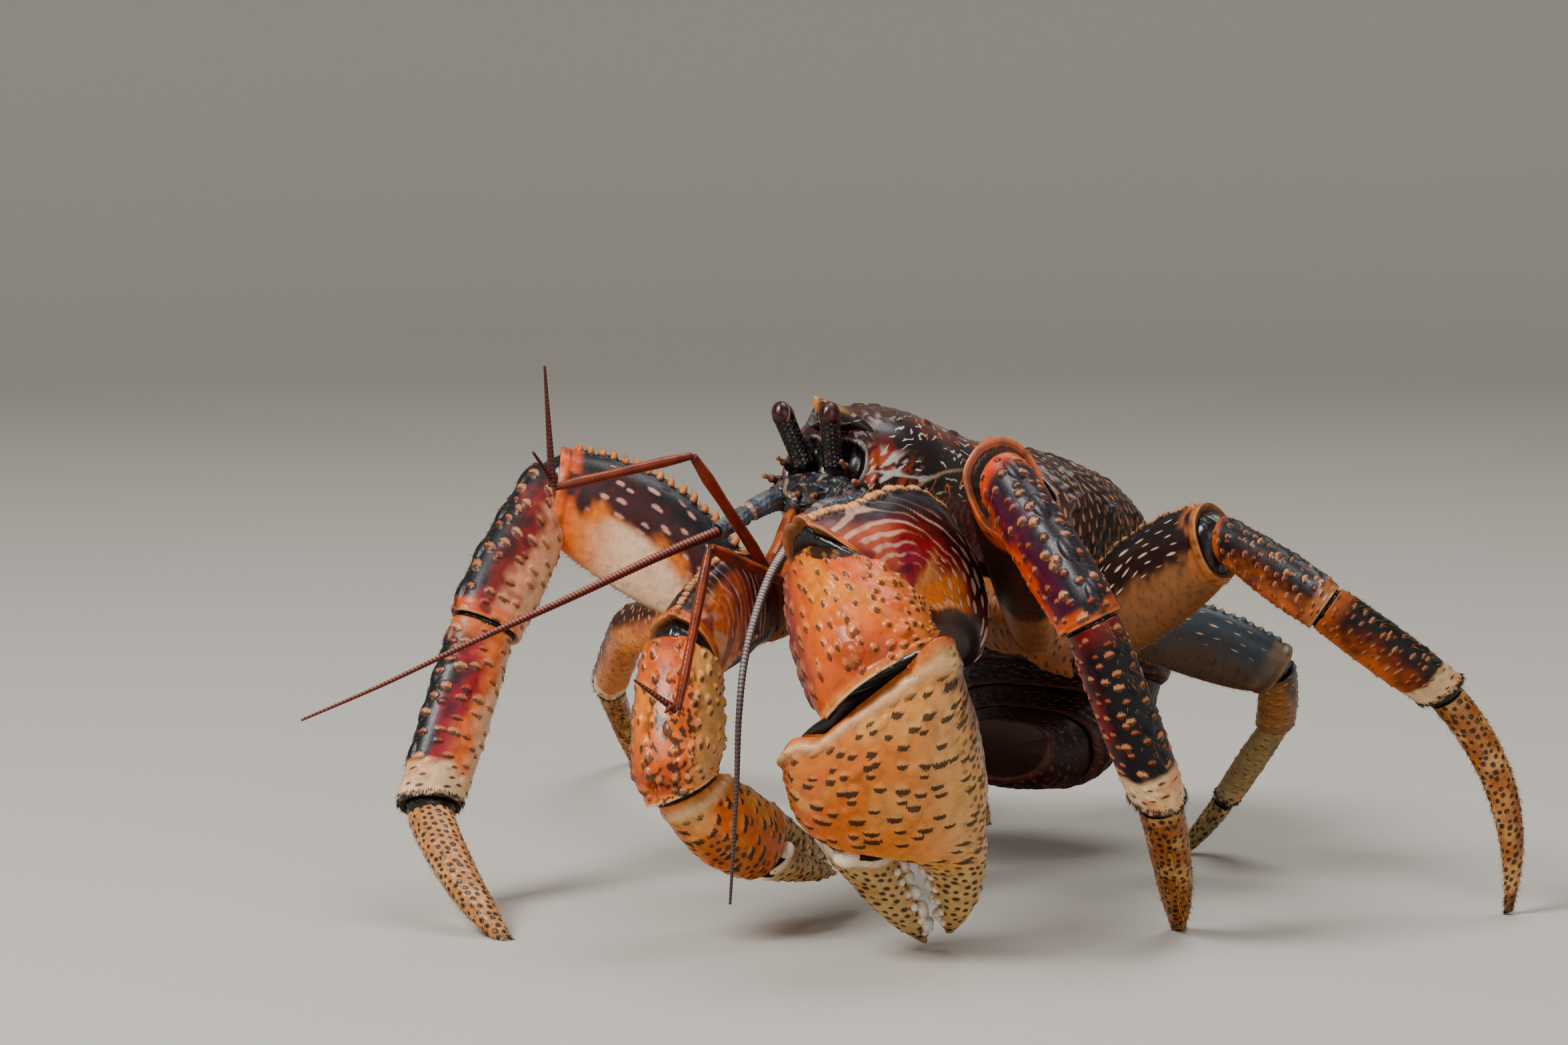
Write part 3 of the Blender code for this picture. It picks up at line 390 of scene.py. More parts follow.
def dabs(tree, skin, pitch, half, stray=0.5, soft=0.2, lean=0.0):
    """Staggered oval marks: a mask, the distance from each centre against its size, and a random.

    pitch and half are millimetres along the surface and round it; lean tips the rows over.
    """
    split = add(tree, "SeparateXYZ", skin).node
    along = add(tree, "Math MULTIPLY_ADD", split.outputs[1], lean, split.outputs[0])
    row = add(tree, "Math DIVIDE", split.outputs[1], pitch[1])
    whole_row = add(tree, "Math FLOOR", row)
    odd = add(tree, "Math FLOORED_MODULO", whole_row, 2.0)
    stagger = add(tree, "Math MULTIPLY", odd, 0.5)
    column = add(tree, "Math MULTIPLY_ADD", along, 1 / pitch[0], stagger)
    whole_column = add(tree, "Math FLOOR", column)
    cell = add(tree, "CombineXYZ", whole_column, whole_row)
    noise = add(tree, "TexWhiteNoise", {"Vector": cell}, out=1, noise_dimensions="2D")
    luck = add(tree, "SeparateXYZ", noise).node
    offs = []
    for value, whole, random, size, reach in (
        (column, whole_column, luck.outputs[0], pitch[0], half[0]),
        (row, whole_row, luck.outputs[1], pitch[1], half[1]),
    ):
        inside = add(tree, "Math SUBTRACT", value, whole)
        moved = add(tree, "Math MULTIPLY_ADD", random, stray * 0.5, inside)
        centred = add(tree, "Math SUBTRACT", moved, 0.5 + stray * 0.25)
        scaled = add(tree, "Math MULTIPLY", centred, size / reach)
        offs.append(add(tree, "Math POWER", add(tree, "Math ABSOLUTE", scaled), 2.0))
    far = add(tree, "Math SQRT", add(tree, "Math ADD", *offs))
    vary = add(tree, "MapRange", luck.outputs[2], 0.0, 1.0, 0.8, 1.35)
    far = add(tree, "Math MULTIPLY", far, vary)
    mask = add(tree, "MapRange", far, 1 + soft, 1 - soft, 0.0, 1.0, interpolation_type="SMOOTHSTEP")
    return mask, far, luck.outputs[2]


OVER = {"data_type": "RGBA", "clamp_factor": True}  # a Mix node that lays one colour over another


def close_up(tree, colour, height, depth, rough, gloss=0.3, grain=0.6, mottle=0.35):
    """Ends a finish: colour, a height in shares of depth millimetres, and roughness from fine grain.

    Faces that look down are dull, as dust and wear leave them.
    """
    where = add(tree, "TexCoord", out=3)
    fine = add(tree, "TexNoise", {"Vector": where, "Scale": 1000 / grain, "Detail": 3.0})
    uneven = add(tree, "MapRange", fine, 0.3, 0.7, rough[0], rough[1])
    blotch = add(tree, "TexNoise", {"Vector": where, "Scale": 260.0, "Detail": 4.0, "Roughness": 0.6})
    blotch = add(tree, "MapRange", blotch, 0.42, 0.72, 0.0, mottle)
    colour = add(tree, "Mix", {0: blotch, 6: colour, 7: "#1E0A06"}, out=2, **OVER)
    total = add(tree, "Math MULTIPLY_ADD", fine, 0.12, height)
    normal = add(tree, "Bump", {"Strength": 1.0, "Distance": depth * MM, "Height": total})
    upward = add(tree, "SeparateXYZ", add(tree, "NewGeometry", out=1)).node.outputs[2]
    waxed = add(tree, "MapRange", upward, -0.7, 0.0, 0.08, 1.0)
    sockets = {
        "Base Color": colour, "Roughness": uneven, "Normal": normal, "IOR": 1.5,
        "Specular IOR Level": add(tree, "Math MULTIPLY", waxed, 0.36),
        "Coat Weight": add(tree, "Math MULTIPLY", waxed, gloss * 0.6),
        "Coat Roughness": 0.2, "Coat IOR": 1.45,
    }
    add(tree, "OutputMaterial", add(tree, "BsdfPrincipled", sockets))


# Waxed chitin is dark and glossy, with orange veins about 1 mm wide and pale flecks.
BACK_BLACK, BACK_BROWN, BACK_RED = "#1C0C0A", "#4A2210", "#6A160C"
VEIN_ORANGE, FLECK_PALE, EDGE_CREAM = "#E0702C", "#DACFC6", "#E8B884"

back_finish, tree, coat, marks, skin = new_finish("waxed chitin of the back")
bend = add(tree, "TexNoise", {"Vector": skin, "Scale": 0.09, "Detail": 4.0}, out=1)
bent = add(tree, "VectorMath MULTIPLY_ADD", bend, (16, 16, 16), skin)
veins = add(tree, "TexVoronoi", {"Vector": bent, "Scale": 0.11}, feature="DISTANCE_TO_EDGE")
veins = add(tree, "MapRange", veins, 0.05, 0.022, 0.0, 1.0, interpolation_type="SMOOTHSTEP")
patch = add(tree, "TexNoise", {"Vector": skin, "Scale": 0.16, "Detail": 2.0})
patch = add(tree, "MapRange", patch, 0.51, 0.57, 0.0, 1.0)
veins = add(tree, "Math MULTIPLY", veins, patch)
veins = add(tree, "Math MULTIPLY", veins, marks[0])
colour = add(tree, "Mix", {0: veins, 6: coat, 7: VEIN_ORANGE}, out=2, **OVER)
flecks, _, luck = dabs(tree, bent, (6.4, 3.2), (2.3, 0.46), 0.9, 0.25, 0.3)
some = add(tree, "Math GREATER_THAN", luck, 0.35)
flecks = add(tree, "Math MULTIPLY", flecks, some)
flecks = add(tree, "Math MULTIPLY", flecks, marks[1])
colour = add(tree, "Mix", {0: flecks, 6: colour, 7: FLECK_PALE}, out=2, **OVER)
lines = dabs(tree, skin, (3.6, 4.4), (0.42, 1.9), 0.6, 0.35, 0.1)[0]
lines = add(tree, "Math MULTIPLY", lines, marks[2])
tan = add(tree, "Math MULTIPLY", lines, 0.85)
colour = add(tree, "Mix", {0: tan, 6: colour, 7: "#A8744A"}, out=2, **OVER)
height = add(tree, "Math MULTIPLY_ADD", veins, 0.5, lines)
close_up(tree, colour, height, 0.35, (0.22, 0.4), 0.5)


def trunk_surface(first, last, brow=0, step=0.8):
    """The carapace between two places. A brow closes its front as a rounded wall that far forward."""
    place = np.arange(first, last + 1e-6, (last - first) / round((last - first) / step))
    front = np.sin(np.radians(np.arange(86, 0, -3))) if brow else np.zeros(0)
    half_width, top, bottom = profile(TRUNK, np.concatenate([first + 0 * front, place]))
    narrow = np.concatenate([np.sqrt(1 - front**2), 1 + 0 * place])
    place = np.concatenate([first - brow * front, place])
    centres = in_body(np.stack([0 * place, place, 0 * place + TRUNK_MID], axis=1))
    sizes = (half_width * narrow, (top - TRUNK_MID) * narrow, (TRUNK_MID - bottom) * narrow)
    form = Surface(place, centres, ACROSS, ABOVE, sizes, (2.3, 2.3), 280)
    below = (form.points - BODY_AT) @ ABOVE - (CARAPACE_EDGE + 0.15)
    form.points = form.points - ABOVE * np.minimum(below, 0)[..., None]
    form.measure()
    hops = np.linalg.norm(np.diff(form.points, axis=0), axis=2)
    form.s = np.concatenate([0 * hops[:1], np.cumsum(hops, axis=0)])
    return form


shield = trunk_surface(-52, GROOVE_Y - 0.6, 6)
y, side = shield.place, np.abs(shield.r)
across, above = np.abs((shield.points - BODY_AT) @ ACROSS), (shield.points - BODY_AT) @ ABOVE
orbit = np.hypot(across - ORBIT_AT[0], above - ORBIT_AT[1]) - ORBIT_RADIUS
orbit = orbit + 2 * (wander(shield.s, shield.r, 4) - 0.5)
front = smooth(y, -51, -53)
shield.mounds(
    ((-50, -22, 4, 90, 2.6, 2.2, 1.2), (-40, -8, 3, 60, 2.6, 2.0, 0.9), (-40, -8, 3, 120, 2.6, 2.0, 0.9))
)
bumpy = smooth(side, 17, 9) * smooth(y, -8, -26)
crown = shield.scales((4.5, 4.0), 0.7, bumpy)
wall = smooth(side, 42, 48) * smooth(y, -44, -34)
striae = shield.scales((3.4, 3.0), 0.7, wall, 0.8, 3)
shield.lift = shield.lift - 1.4 * smooth(y, GROOVE_Y - 3.5, GROOVE_Y - 0.6)
shield.lift = shield.lift + front * (0.6 * smooth(np.abs(orbit), 1.2, 0.2) - 1.5 * smooth(orbit, 0, -3))
shield.paint(BACK_BLACK)
shield.paint(BACK_BROWN, 0.8 * smooth(side, 20, 8) * smooth(y, 0, -20))
shield.paint(BACK_RED, 0.6 * wall)
shield.paint("#9A5230", 0.8 * wall * smooth(striae, 0.6, 0.9))
shield.paint("#6C6A70", 0.8 * bumpy * smooth(crown, 0.3, 0.8))
shield.paint("#D8C8B8", 0.6 * bumpy * smooth(crown, 0.8, 0.95))
shield.paint(BACK_RED, 0.85 * (1 - wall) * smooth(side, 10, 22) * shield.patches(11, 0.35, 0.65))
cheek = smooth(orbit, 13, 5) * smooth(orbit, 0, 2) * smooth(above, 12, 6)
mottled = 0.6 * wander(shield.s, shield.r, 4.5, 2) + 0.4 * wander(shield.s, shield.r, 1.4, 1)
shield.paint("#B8481A", 0.9 * cheek * smooth(mottled, 0.46, 0.54))
shield.paint("#E0D4CA", 0.85 * cheek * smooth(wander(shield.s * 0.5, shield.r, 1.5, 1), 0.64, 0.7))
# Painted shade: the sunken socket round each eyestalk is painted near black.
shield.paint("#0B0606", front * smooth(orbit, 0.4, -0.6))
shield.paint("#8E8078", 0.8 * front * smooth(np.abs(orbit - 0.2), 0.6, 0.25) * smooth(above, -6, 0))
line = np.abs(side - 40 + 9 * np.sin((y + 40) / 40))
shield.paint(EDGE_CREAM, 0.7 * smooth(line, 0.7, 0.2) * smooth(y, -44, -38) * smooth(y, -12, -26))
streak = np.abs(above - 1.5 - 0.12 * (y + 52) - 2.5 * (wander(shield.s, shield.r, 9, 1) - 0.5))
shield.paint("#DCD8D6", 0.85 * smooth(streak, 0.55, 0.2) * smooth(y, -30, -38) * smooth(orbit, 1, 3))
shield.mark(0, smooth(side, 6, 16) * (1 - wall) * smooth(y, -40, -28))
shield.mark(1, smooth(side, 10, 20) * (1 - wall) * smooth(orbit, 0, 2))
shield.curl((1, 1))

place = np.linspace(-46, -66.4, 46)
half_width, high, thick = profile(ROSTRUM, place)
keel = 3 * smooth(place, -50, -60) * smooth(place, -68, -64)
rostrum = Surface(
    place, in_body(np.stack([0 * place, place, high], axis=1)), ACROSS, ABOVE,
    (half_width + 0.7, thick, thick * 0.7 + keel), (1.7, 2.0), 64,
)
rostrum.paint(BACK_BLACK)
tan = smooth(np.abs(np.abs(rostrum.turn - 90) - 62), 30, 12) * smooth(place[:, None], -54, -60)
rostrum.paint("#C88444", 0.9 * np.maximum(tan, smooth(place[:, None], -64, -65.5)))
rostrum.mark(1, 0.4)
piece("shield", [shield, rostrum], back_finish, "shield_shell", "shield")

# The rear of the carapace covers the gill chambers, broad and domed, and is brown with raised
# cross-ridges like overlapping scales, each with an orange dash along its free edge.
rear = trunk_surface(GROOVE_Y + 0.6, 80)
y, side = rear.place, np.abs(rear.r)
striae = rear.scales((4.4, 4.2), 1.0, smooth(side, 90, 76) * smooth(y, 17, 21), 0.82)
for middle, reach in ((27, 57), (38, 59), (49, 59), (61, 57)):
    ridge = smooth(np.abs(rear.turn - 90), reach, reach - 12) * np.exp(-(((y - middle - 1) / 1.7) ** 2))
    rear.lift = rear.lift + ridge
rear.mounds(((22, 66, 4, 17, 3.6, 3.0, 1.2), (22, 66, 4, 163, 3.6, 3.0, 1.2)))
rear.lift = rear.lift - 1.2 * smooth(y, GROOVE_Y + 3.5, GROOVE_Y + 0.6)
rear.paint("#1D0F0C")
rear.paint("#3A170F", 0.7 * rear.patches(9, 0.35, 0.75))
rear.paint("#8A5230", 0.85 * smooth(striae, 0.5, 0.8))
rear.mark(2, 0.9 * smooth(side, 92, 80))
rear.paint("#C8793C", 0.8 * smooth(striae, 0.75, 0.95) * rear.patches(12, 0.5, 0.7, 1))
rear.paint("#B4703E", 0.5 * smooth(y, 70, 78))
rear.curl((1, 1))
piece("rear_carapace", [rear], back_finish, "carapace_shell", "rear_carapace")

# The underside: the sternal plates between the legs and the legs' first articles, which are
# fused to them here. It is thinner chitin, tan and matt, with dark soft skin in its folds.
# Place along the body, half width and bottom.
THORAX = (
    (-45, 15, -29),
    (-34, 19, -36),
    (-14, 22, -40),
    (14, 24, -40),
    (38, 22, -35),
    (56, 17, -28),
    (70, 12, -23),
)
# Millimetres from joint to joint.
LEG_LENGTHS = {
    "claw_left": (26, 60, 46, 60),
    "claw_right": (24, 50, 46, 50),
    "leg2": (24, 78, 58, 64, 62),
    "leg3": (24, 70, 50, 58, 74),
    "leg4": (20, 62, 30, 44, 27),
}
# The hip in the body's frame, then how each article points: degrees round from the left, and up.
LEG_AIMS = {
    "claw_left": ((24, -34, -34), (-22, -12), (-97, 16), (-39, -37), (117, -63)),
    "claw_right": ((-24, -34, -34), (-75, -7), (-87, -14), (-59, -60), (77, -28)),
    "leg2_left": ((32, -7, -34), (-7, -9), (-70, 43), (-17, -46), (73, -63), (109, -50)),
    "leg2_right": ((-34, -6, -34), (-110, -13), (-161, 33), (-92, -51), (-88, -60), (-24, -34)),
    "leg3_left": ((34, 18, -32), (40, -35), (-6, 38), (-16, -23), (66, -32), (33, -73)),
    "leg3_right": ((-34, 18, -33), (160, -5), (155, -9), (154, -15), (133, -27), (115, -34)),
    "leg4_left": ((29, 42, -28), (28, -8), (28, -15), (121, -47), (149, -44), (-151, -50)),
    "leg4_right": ((-29, 42, -28), (150, -8), (135, -15), (62, -47), (31, -44), (-29, -50)),
}
COXA_ROOT, COXA_RISE = 0.35, 3  # where a first article starts: share of the way out to the hip, and rise
ISCHIUM_SIZE = {
    "claw_left": (12, 14),
    "claw_right": (9, 11),
    "leg2": (9, 11),
    "leg3": (8.5, 10.5),
    "leg4": (6, 6.5),
}
SEAM = 1.3  # half of the open seam at a joint, where the soft skin shows
MOST_SLANT = 7  # how far the end of an article near the hip may lean, in millimetres at full girth


def square_to(direction, hint):
    return unit(hint - (hint @ direction) * direction)


def kind_of(name):
    return name if name.startswith("claw") else name.split("_")[0]


def plan_legs():
    """The joints of every leg, the direction of each article and the side that its crest faces."""
    legs = {}
    for name, (hip, *angles) in LEG_AIMS.items():
        joints, aims, ups = [in_body(hip)], [], []
        for length, (azimuth, elevation) in zip(LEG_LENGTHS[kind_of(name)], angles):
            turn, climb = math.radians(azimuth), math.radians(elevation)
            level = math.cos(climb)
            aim = Vector((level * math.cos(turn), level * math.sin(turn), math.sin(climb)))
            up = Vector((0, 0, 1))
            if ups:
                up = Vector(aims[-1]).rotation_difference(aim) @ Vector(ups[-1])
            aims.append(np.array(aim))
            ups.append(square_to(aims[-1], np.array(up)))
            joints.append(joints[-1] + aims[-1] * length)
        legs[name] = {"joints": joints, "aims": aims, "ups": ups}
    return legs


def article(
    leg, k, rows, ends, girth=1.0, powers=(2.0, 2.3), bow=0.0, count=120, step=0.7, planes=(None, None),
):
    """Article k of a leg. Its girth is read at each point, so slanted ends keep the table's form.

    Each end lies nearly in the plane of its joint, or square to the given direction. The knees gape a
    little on the outside of the bend, and near the hip, where the bends are sharp, an end slants less.
    """
    start, aims, up = leg["joints"][k], leg["aims"], leg["ups"][k]
    aim, length = aims[k], np.linalg.norm(leg["joints"][k + 1] - start)
    before, after = planes
    if before is None and k:
        lean = 0.35 if k < 3 else 0.49
        before = lean * aims[k - 1] + (1 - lean) * aim
    if after is None and k + 1 < len(aims):
        lean = 0.35 if k < 2 else 0.49
        after = (1 - lean) * aim + lean * aims[k + 1]
    t = np.linspace(ends[0] / length, 1 - ends[1] / length, round(length / step))
    centres = start + aim * (t * length)[:, None] + up * (4 * bow * t * (1 - t))[:, None]
    places = np.repeat(t[:, None], count, axis=1)
    for _ in range(6):
        sizes = [values * girth for values in profile(rows, places)]
        form = Surface(t, centres, np.cross(aim, up), up, sizes, powers, count)
        slide = 0 * places
        for normal, share, limited in ((before, 1 - form.place, k < 2), (after, form.place, k == 0)):
            if normal is not None:
                slant = ((form.points - form.centres) @ normal) / (aim @ normal) * share
                most = MOST_SLANT * girth
                slide = slide + (most * np.tanh(slant / most) if limited else slant)
        form.points = form.points - aim * slide[..., None]
        places = 0.5 * places + 0.5 * (form.points - start) @ aim / length
    form.measure()
    return form


LEGS = plan_legs()
# Thin chitin without wax looks matt and tan, with fine dark dots about 1 mm wide.
under_finish, tree, coat, marks, skin = new_finish("thin matt chitin of the underside")
dots = dabs(tree, skin, (2.6, 2.4), (0.45, 0.45), 0.9, 0.4)[0]
dots = add(tree, "Math MULTIPLY", dots, marks[0])
colour = add(tree, "Mix", {0: dots, 6: coat, 7: "#3A2018"}, out=2, **OVER)
close_up(tree, colour, dots, 0.25, (0.4, 0.6), 0.12)

place = np.linspace(-45, 70, 120)
half_width, bottom = profile(THORAX, place)
belly = Surface(
    place, in_body(np.stack([0 * place, place, 0 * place + TRUNK_MID], axis=1)), ACROSS, ABOVE,
    (half_width, 1 + 0 * place, TRUNK_MID - bottom), (2.3, 2.8), 140,
)
over = (belly.points - BODY_AT) @ ABOVE - (CARAPACE_EDGE - 0.15)
belly.points = belly.points - ABOVE * np.maximum(over, 0)[..., None]
belly.measure()
belly.paint("#5A2E16")
belly.paint("#1D0F0B", 0.7 * smooth(np.cos(belly.s / 11.5 * math.pi), 0.75, 1))
belly.mark(0, 0.6)
under = [belly]
for name, leg in LEGS.items():
    hip = LEG_AIMS[name][0]
    width, height = ISCHIUM_SIZE[kind_of(name)]
    root = in_body((hip[0] * COXA_ROOT, hip[1], hip[2] + COXA_RISE))
    reach = leg["joints"][0] - root
    far_off = np.linalg.norm(reach)
    aim = reach / far_off
    up, facing = square_to(aim, ABOVE), leg["aims"][0]
    t = np.linspace(0, 1 - SEAM / far_off, 30)
    swell = 1 + 0.05 * np.sin(math.pi * t)
    coxa = Surface(
        t, root + aim * (t * far_off)[:, None], np.cross(aim, up), up,
        (width * swell, height * swell * 0.98, height * swell * 0.98), (2.2, 2.2), 80,
    )
    # The end slants to face the next article, and what still stands out past the joint is cut off.
    off = ((coxa.points - coxa.centres) @ facing) / (aim @ facing) * smooth(coxa.place, 0.1, 0.95)
    coxa.points = coxa.points - aim * np.clip(off, -0.4 * width, 0.8 * far_off * coxa.place)[..., None]
    over = (coxa.points - leg["joints"][0]) @ facing + SEAM
    coxa.points = coxa.points - facing * np.maximum(over, 0)[..., None]
    coxa.measure()
    coxa.scales((3.5, 4.0), 0.4)
    coxa.paint("#8A4E24")
    coxa.paint("#3A1C12", 0.6 * coxa.patches(6, 0.4, 0.7))
    coxa.paint("#D08A48", 0.8 * smooth(coxa.place, 0.86, 0.98))
    coxa.mark(0, 0.8)
    coxa.curl((0, 1))
    under.append(coxa)
piece("thorax", under, under_finish, "underside_shell", "thorax")

# The abdomen is curled down and under. Its back carries five leathery plates and a small tail,
# dark red-brown, with rows of small reddish warts.
# The curl is an arc between two angles. Its girth: share of the arc, half width and half depth.
ABDOMEN_CENTRE, ABDOMEN_RADIUS = (81, -39), 33
ABDOMEN_SPAN = (86, -96)
ABDOMEN_PLATES = 5
ABDOMEN_GIRTH = ((0.0, 27, 15), (0.12, 34, 19), (0.35, 39, 21), (0.6, 36, 20), (0.8, 28, 17), (1.0, 17, 11))
# Leathery skin looks dull and nearly black, with low reddish warts about 1.6 mm wide.
abdomen_finish, tree, coat, marks, skin = new_finish("leathery skin of the abdomen")
warts = dabs(tree, skin, (3.6, 3.8), (0.8, 0.8), 0.6, 0.5)[0]
warts = add(tree, "Math MULTIPLY", warts, marks[0])
colour = add(tree, "Mix", {0: add(tree, "Math MULTIPLY", warts, 0.8), 6: coat, 7: "#7A2E20"}, out=2, **OVER)
close_up(tree, colour, warts, 0.6, (0.38, 0.58), 0.2)
girth = np.array(ABDOMEN_GIRTH)
for k in range(ABDOMEN_PLATES + 1):
    t = np.linspace(0.03, 0.97, 26)
    share = (k + t) / (ABDOMEN_PLATES + 1)
    angle = np.radians(ABDOMEN_SPAN[0] + (ABDOMEN_SPAN[1] - ABDOMEN_SPAN[0]) * share)
    outward = np.stack([0 * angle, np.cos(angle), np.sin(angle)], axis=1) @ TILT.T
    wide, deep = (np.interp(share, girth[:, 0], girth[:, column]) for column in (1, 2))
    swell = 1 + 0.06 * smooth(t, 0.25, 0.75) * smooth(t, 1.0, 0.9)
    plate = Surface(
        t, in_body((0, *ABDOMEN_CENTRE)) + outward * ABDOMEN_RADIUS, ACROSS, outward[:, None, :],
        (wide * swell, deep * swell, deep * 0.8), (2.3, 2.6), 150,
    )
    plate.scales((4.0, 5.5), 0.7, smooth(t, 0.1, 0.3)[:, None])
    plate.paint("#1C0C0B")
    plate.paint("#331310", 0.7 * plate.patches(7, 0.4, 0.7, k))
    plate.paint("#6A3424", 0.5 * smooth(plate.place, 0.8, 0.92))
    plate.mark(0, smooth(plate.place, 0.1, 0.3))
    plate.curl((1, 1), 0.8)
    name = f"abdomen_plate_{k + 1}" if k < ABDOMEN_PLATES else "tail"
    piece(name, [plate], abdomen_finish, "abdomen_shell", name)

# The face: a dark knobby block between the shield and the mouth, which carries the sockets of the
# feelers. The two outer mouth legs hang from it. Their pale hairs are not made.
GAP = 0.3  # between a feeler and its socket
# How far forward, half width, top and bottom.
FACE = ((52.3, 17, 6, -14), (55, 17, 0, -15), (60, 14, -1, -14), (64, 7, -5, -11))
# Root, tip and root radius.
FACE_SPINES = (
    ((11, -56, 0), (12, -66, 3), 1.8),
    ((14, -55, -4), (17, -65, -3), 2.2),
    ((3, -60, -7), (3.5, -67, -9), 1.8),
)
# The left one's middle line in the body's frame, and the feelers' joints in the crab's.
MAXILLIPED = ((5.5, -42, -22), (5.5, -49, -23), (5.5, -55, -27), (6, -55, -34), (6.5, -51, -38))
ANTENNULES = {
    "left": ((-12, 41, 130), (-9, 13, 111), (-16, -17, 124), (-15, -36, 76), (-24, -46, 86)),
    "right": ((-23, 41, 130), (-19, 20, 113), (-27, -10, 151), (-51, -50, 143), (-53, -51, 180)),
}
ANTENNAE = {
    "left": (
        (-4, 41.5, 132), (-7, 31, 131), (-8, 20, 125), (-4, -2, 114),
        (1, -22, 95), (4, -31, 76), (3, -31, 52), (-4, -24, 16),
    ),
    "right": (
        (-31, 44, 133), (-33, 36, 131), (-39, 22, 124), (-49, 2, 117),
        (-62, -28, 106), (-76, -58, 95), (-90, -84, 84), (-103, -107, 75),
    ),
}
STUB = 7  # how deep a socket starts behind its feeler


def tube(route, radii, step=0.8, count=20, curved=True):
    """A round tube along a route, whose radius runs evenly through the given radii."""
    route = np.asarray(route, float)
    if curved and len(route) > 2:
        at = np.linspace(0, len(route) - 1, 40 * len(route))
        rows = np.concatenate([np.arange(len(route))[:, None], route], axis=1)
        route = np.stack(profile(rows, at), axis=1)
    runs = np.concatenate([[0], np.cumsum(np.linalg.norm(np.diff(route, axis=0), axis=1))])
    t = np.linspace(0, 1, max(4, round(runs[-1] / step)))
    centres = np.stack([np.interp(t * runs[-1], runs, route[:, k]) for k in range(3)], axis=1)
    aims = np.gradient(centres, axis=0)
    up, ups = np.array((0.1, 0.2, 1.0)), []
    for aim in aims:
        up = square_to(unit(aim), up)
        ups.append(up)
    ups = np.array(ups)
    sides = np.cross(aims / np.linalg.norm(aims, axis=1, keepdims=True), ups)
    radius = np.interp(t, np.linspace(0, 1, len(radii)), radii)
    return Surface(t, centres, sides[:, None, :], ups[:, None, :], (radius,) * 3, (2, 2), count)


def blob(centre, aim, half, count=44):
    """A rounded lump: its half sizes across, along the aim and up."""
    aim = unit(aim)
    up = square_to(aim, ABOVE if abs(aim @ ABOVE) < 0.9 else REARWARD)
    most = math.asin(0.985)
    u = np.sin(np.linspace(-most, most, 26))
    wide = np.sqrt(1 - u * u)
    centres = np.asarray(centre) + aim * (u * half[1])[:, None]
    sizes = (wide * half[0], wide * half[2], wide * half[2])
    return Surface(u, centres, np.cross(aim, up), up, sizes, (2, 2), count)


# Knobby chitin is blue-grey and satin, and some of its knobs, 1 mm wide, have rust-coloured tips.
face_finish, tree, coat, marks, skin = new_finish("knobby chitin of the face")
knobs, _, luck = dabs(tree, skin, (2.2, 2.0), (0.55, 0.55), 0.9, 0.5)
knobs = add(tree, "Math MULTIPLY", knobs, marks[0])
tinted = add(tree, "Math GREATER_THAN", luck, 0.8)
tinted = add(tree, "Math MULTIPLY", knobs, tinted)
colour = add(tree, "Mix", {0: add(tree, "Math MULTIPLY", tinted, 0.7), 6: coat, 7: "#A85A34"}, out=2, **OVER)
close_up(tree, colour, knobs, 0.4, (0.3, 0.5), 0.3)

place = np.linspace(52.3, 64, 40)
half_width, top, bottom = profile(FACE, place)
block = Surface(
    place, in_body(np.stack([0 * place, -place, (top + bottom) / 2], axis=1)), ACROSS, ABOVE,
    (half_width, (top - bottom) / 2, (top - bottom) / 2), (2.3, 2.3), 110,
)
block.scales((2.6, 3.0), 0.9, 1.0)
block.paint("#1E2228")
block.paint("#5C6872", 0.75 * block.patches(4, 0.5, 0.75))
block.paint("#7A4A38", 0.6 * block.patches(3, 0.6, 0.8, 1))
block.paint("#C8A88C", 0.6 * block.patches(2.2, 0.68, 0.8, 2))
block.mark(0, 1.0)
block.curl((1, 1), 0.6)
lumps = [block]
for routes, radius in ((ANTENNULES, 2.3), (ANTENNAE, 3.6)):
    for route in routes.values():
        first, second = np.array(route[0], float), np.array(route[1], float)
        aim = unit(second - first)
        socket = tube((first - aim * STUB, first - aim * GAP), (radius * 1.5, radius * 1.1), 0.5, 40)
        socket.lift = socket.lift + 0.5 * np.abs(np.sin(socket.place * 7))
        socket.scales((2.0, 2.0), 0.4, 1.0)
        socket.paint("#363E46")
        socket.paint("#8A5A48", 0.6 * socket.patches(2.5, 0.5, 0.7))
        socket.mark(0, 1.0)
        lumps.append(socket)
for first, last, radius in FACE_SPINES:
    for side in (1, -1):
        flip = np.array((side, 1, 1))
        spine = tube(in_body([first * flip, last * flip]), (radius, radius * 0.25), 0.5, 24)
        spine.lift = spine.lift + 0.25 * np.sin(spine.place * 22)
        spine.paint("#2A1C1C")
        spine.paint("#C27A4C", 0.8 * smooth(spine.place, 0.5, 0.95))
        spine.mark(0, 0.6)
        lumps.append(spine)
piece("face", lumps, face_finish, "face_shell", "face")

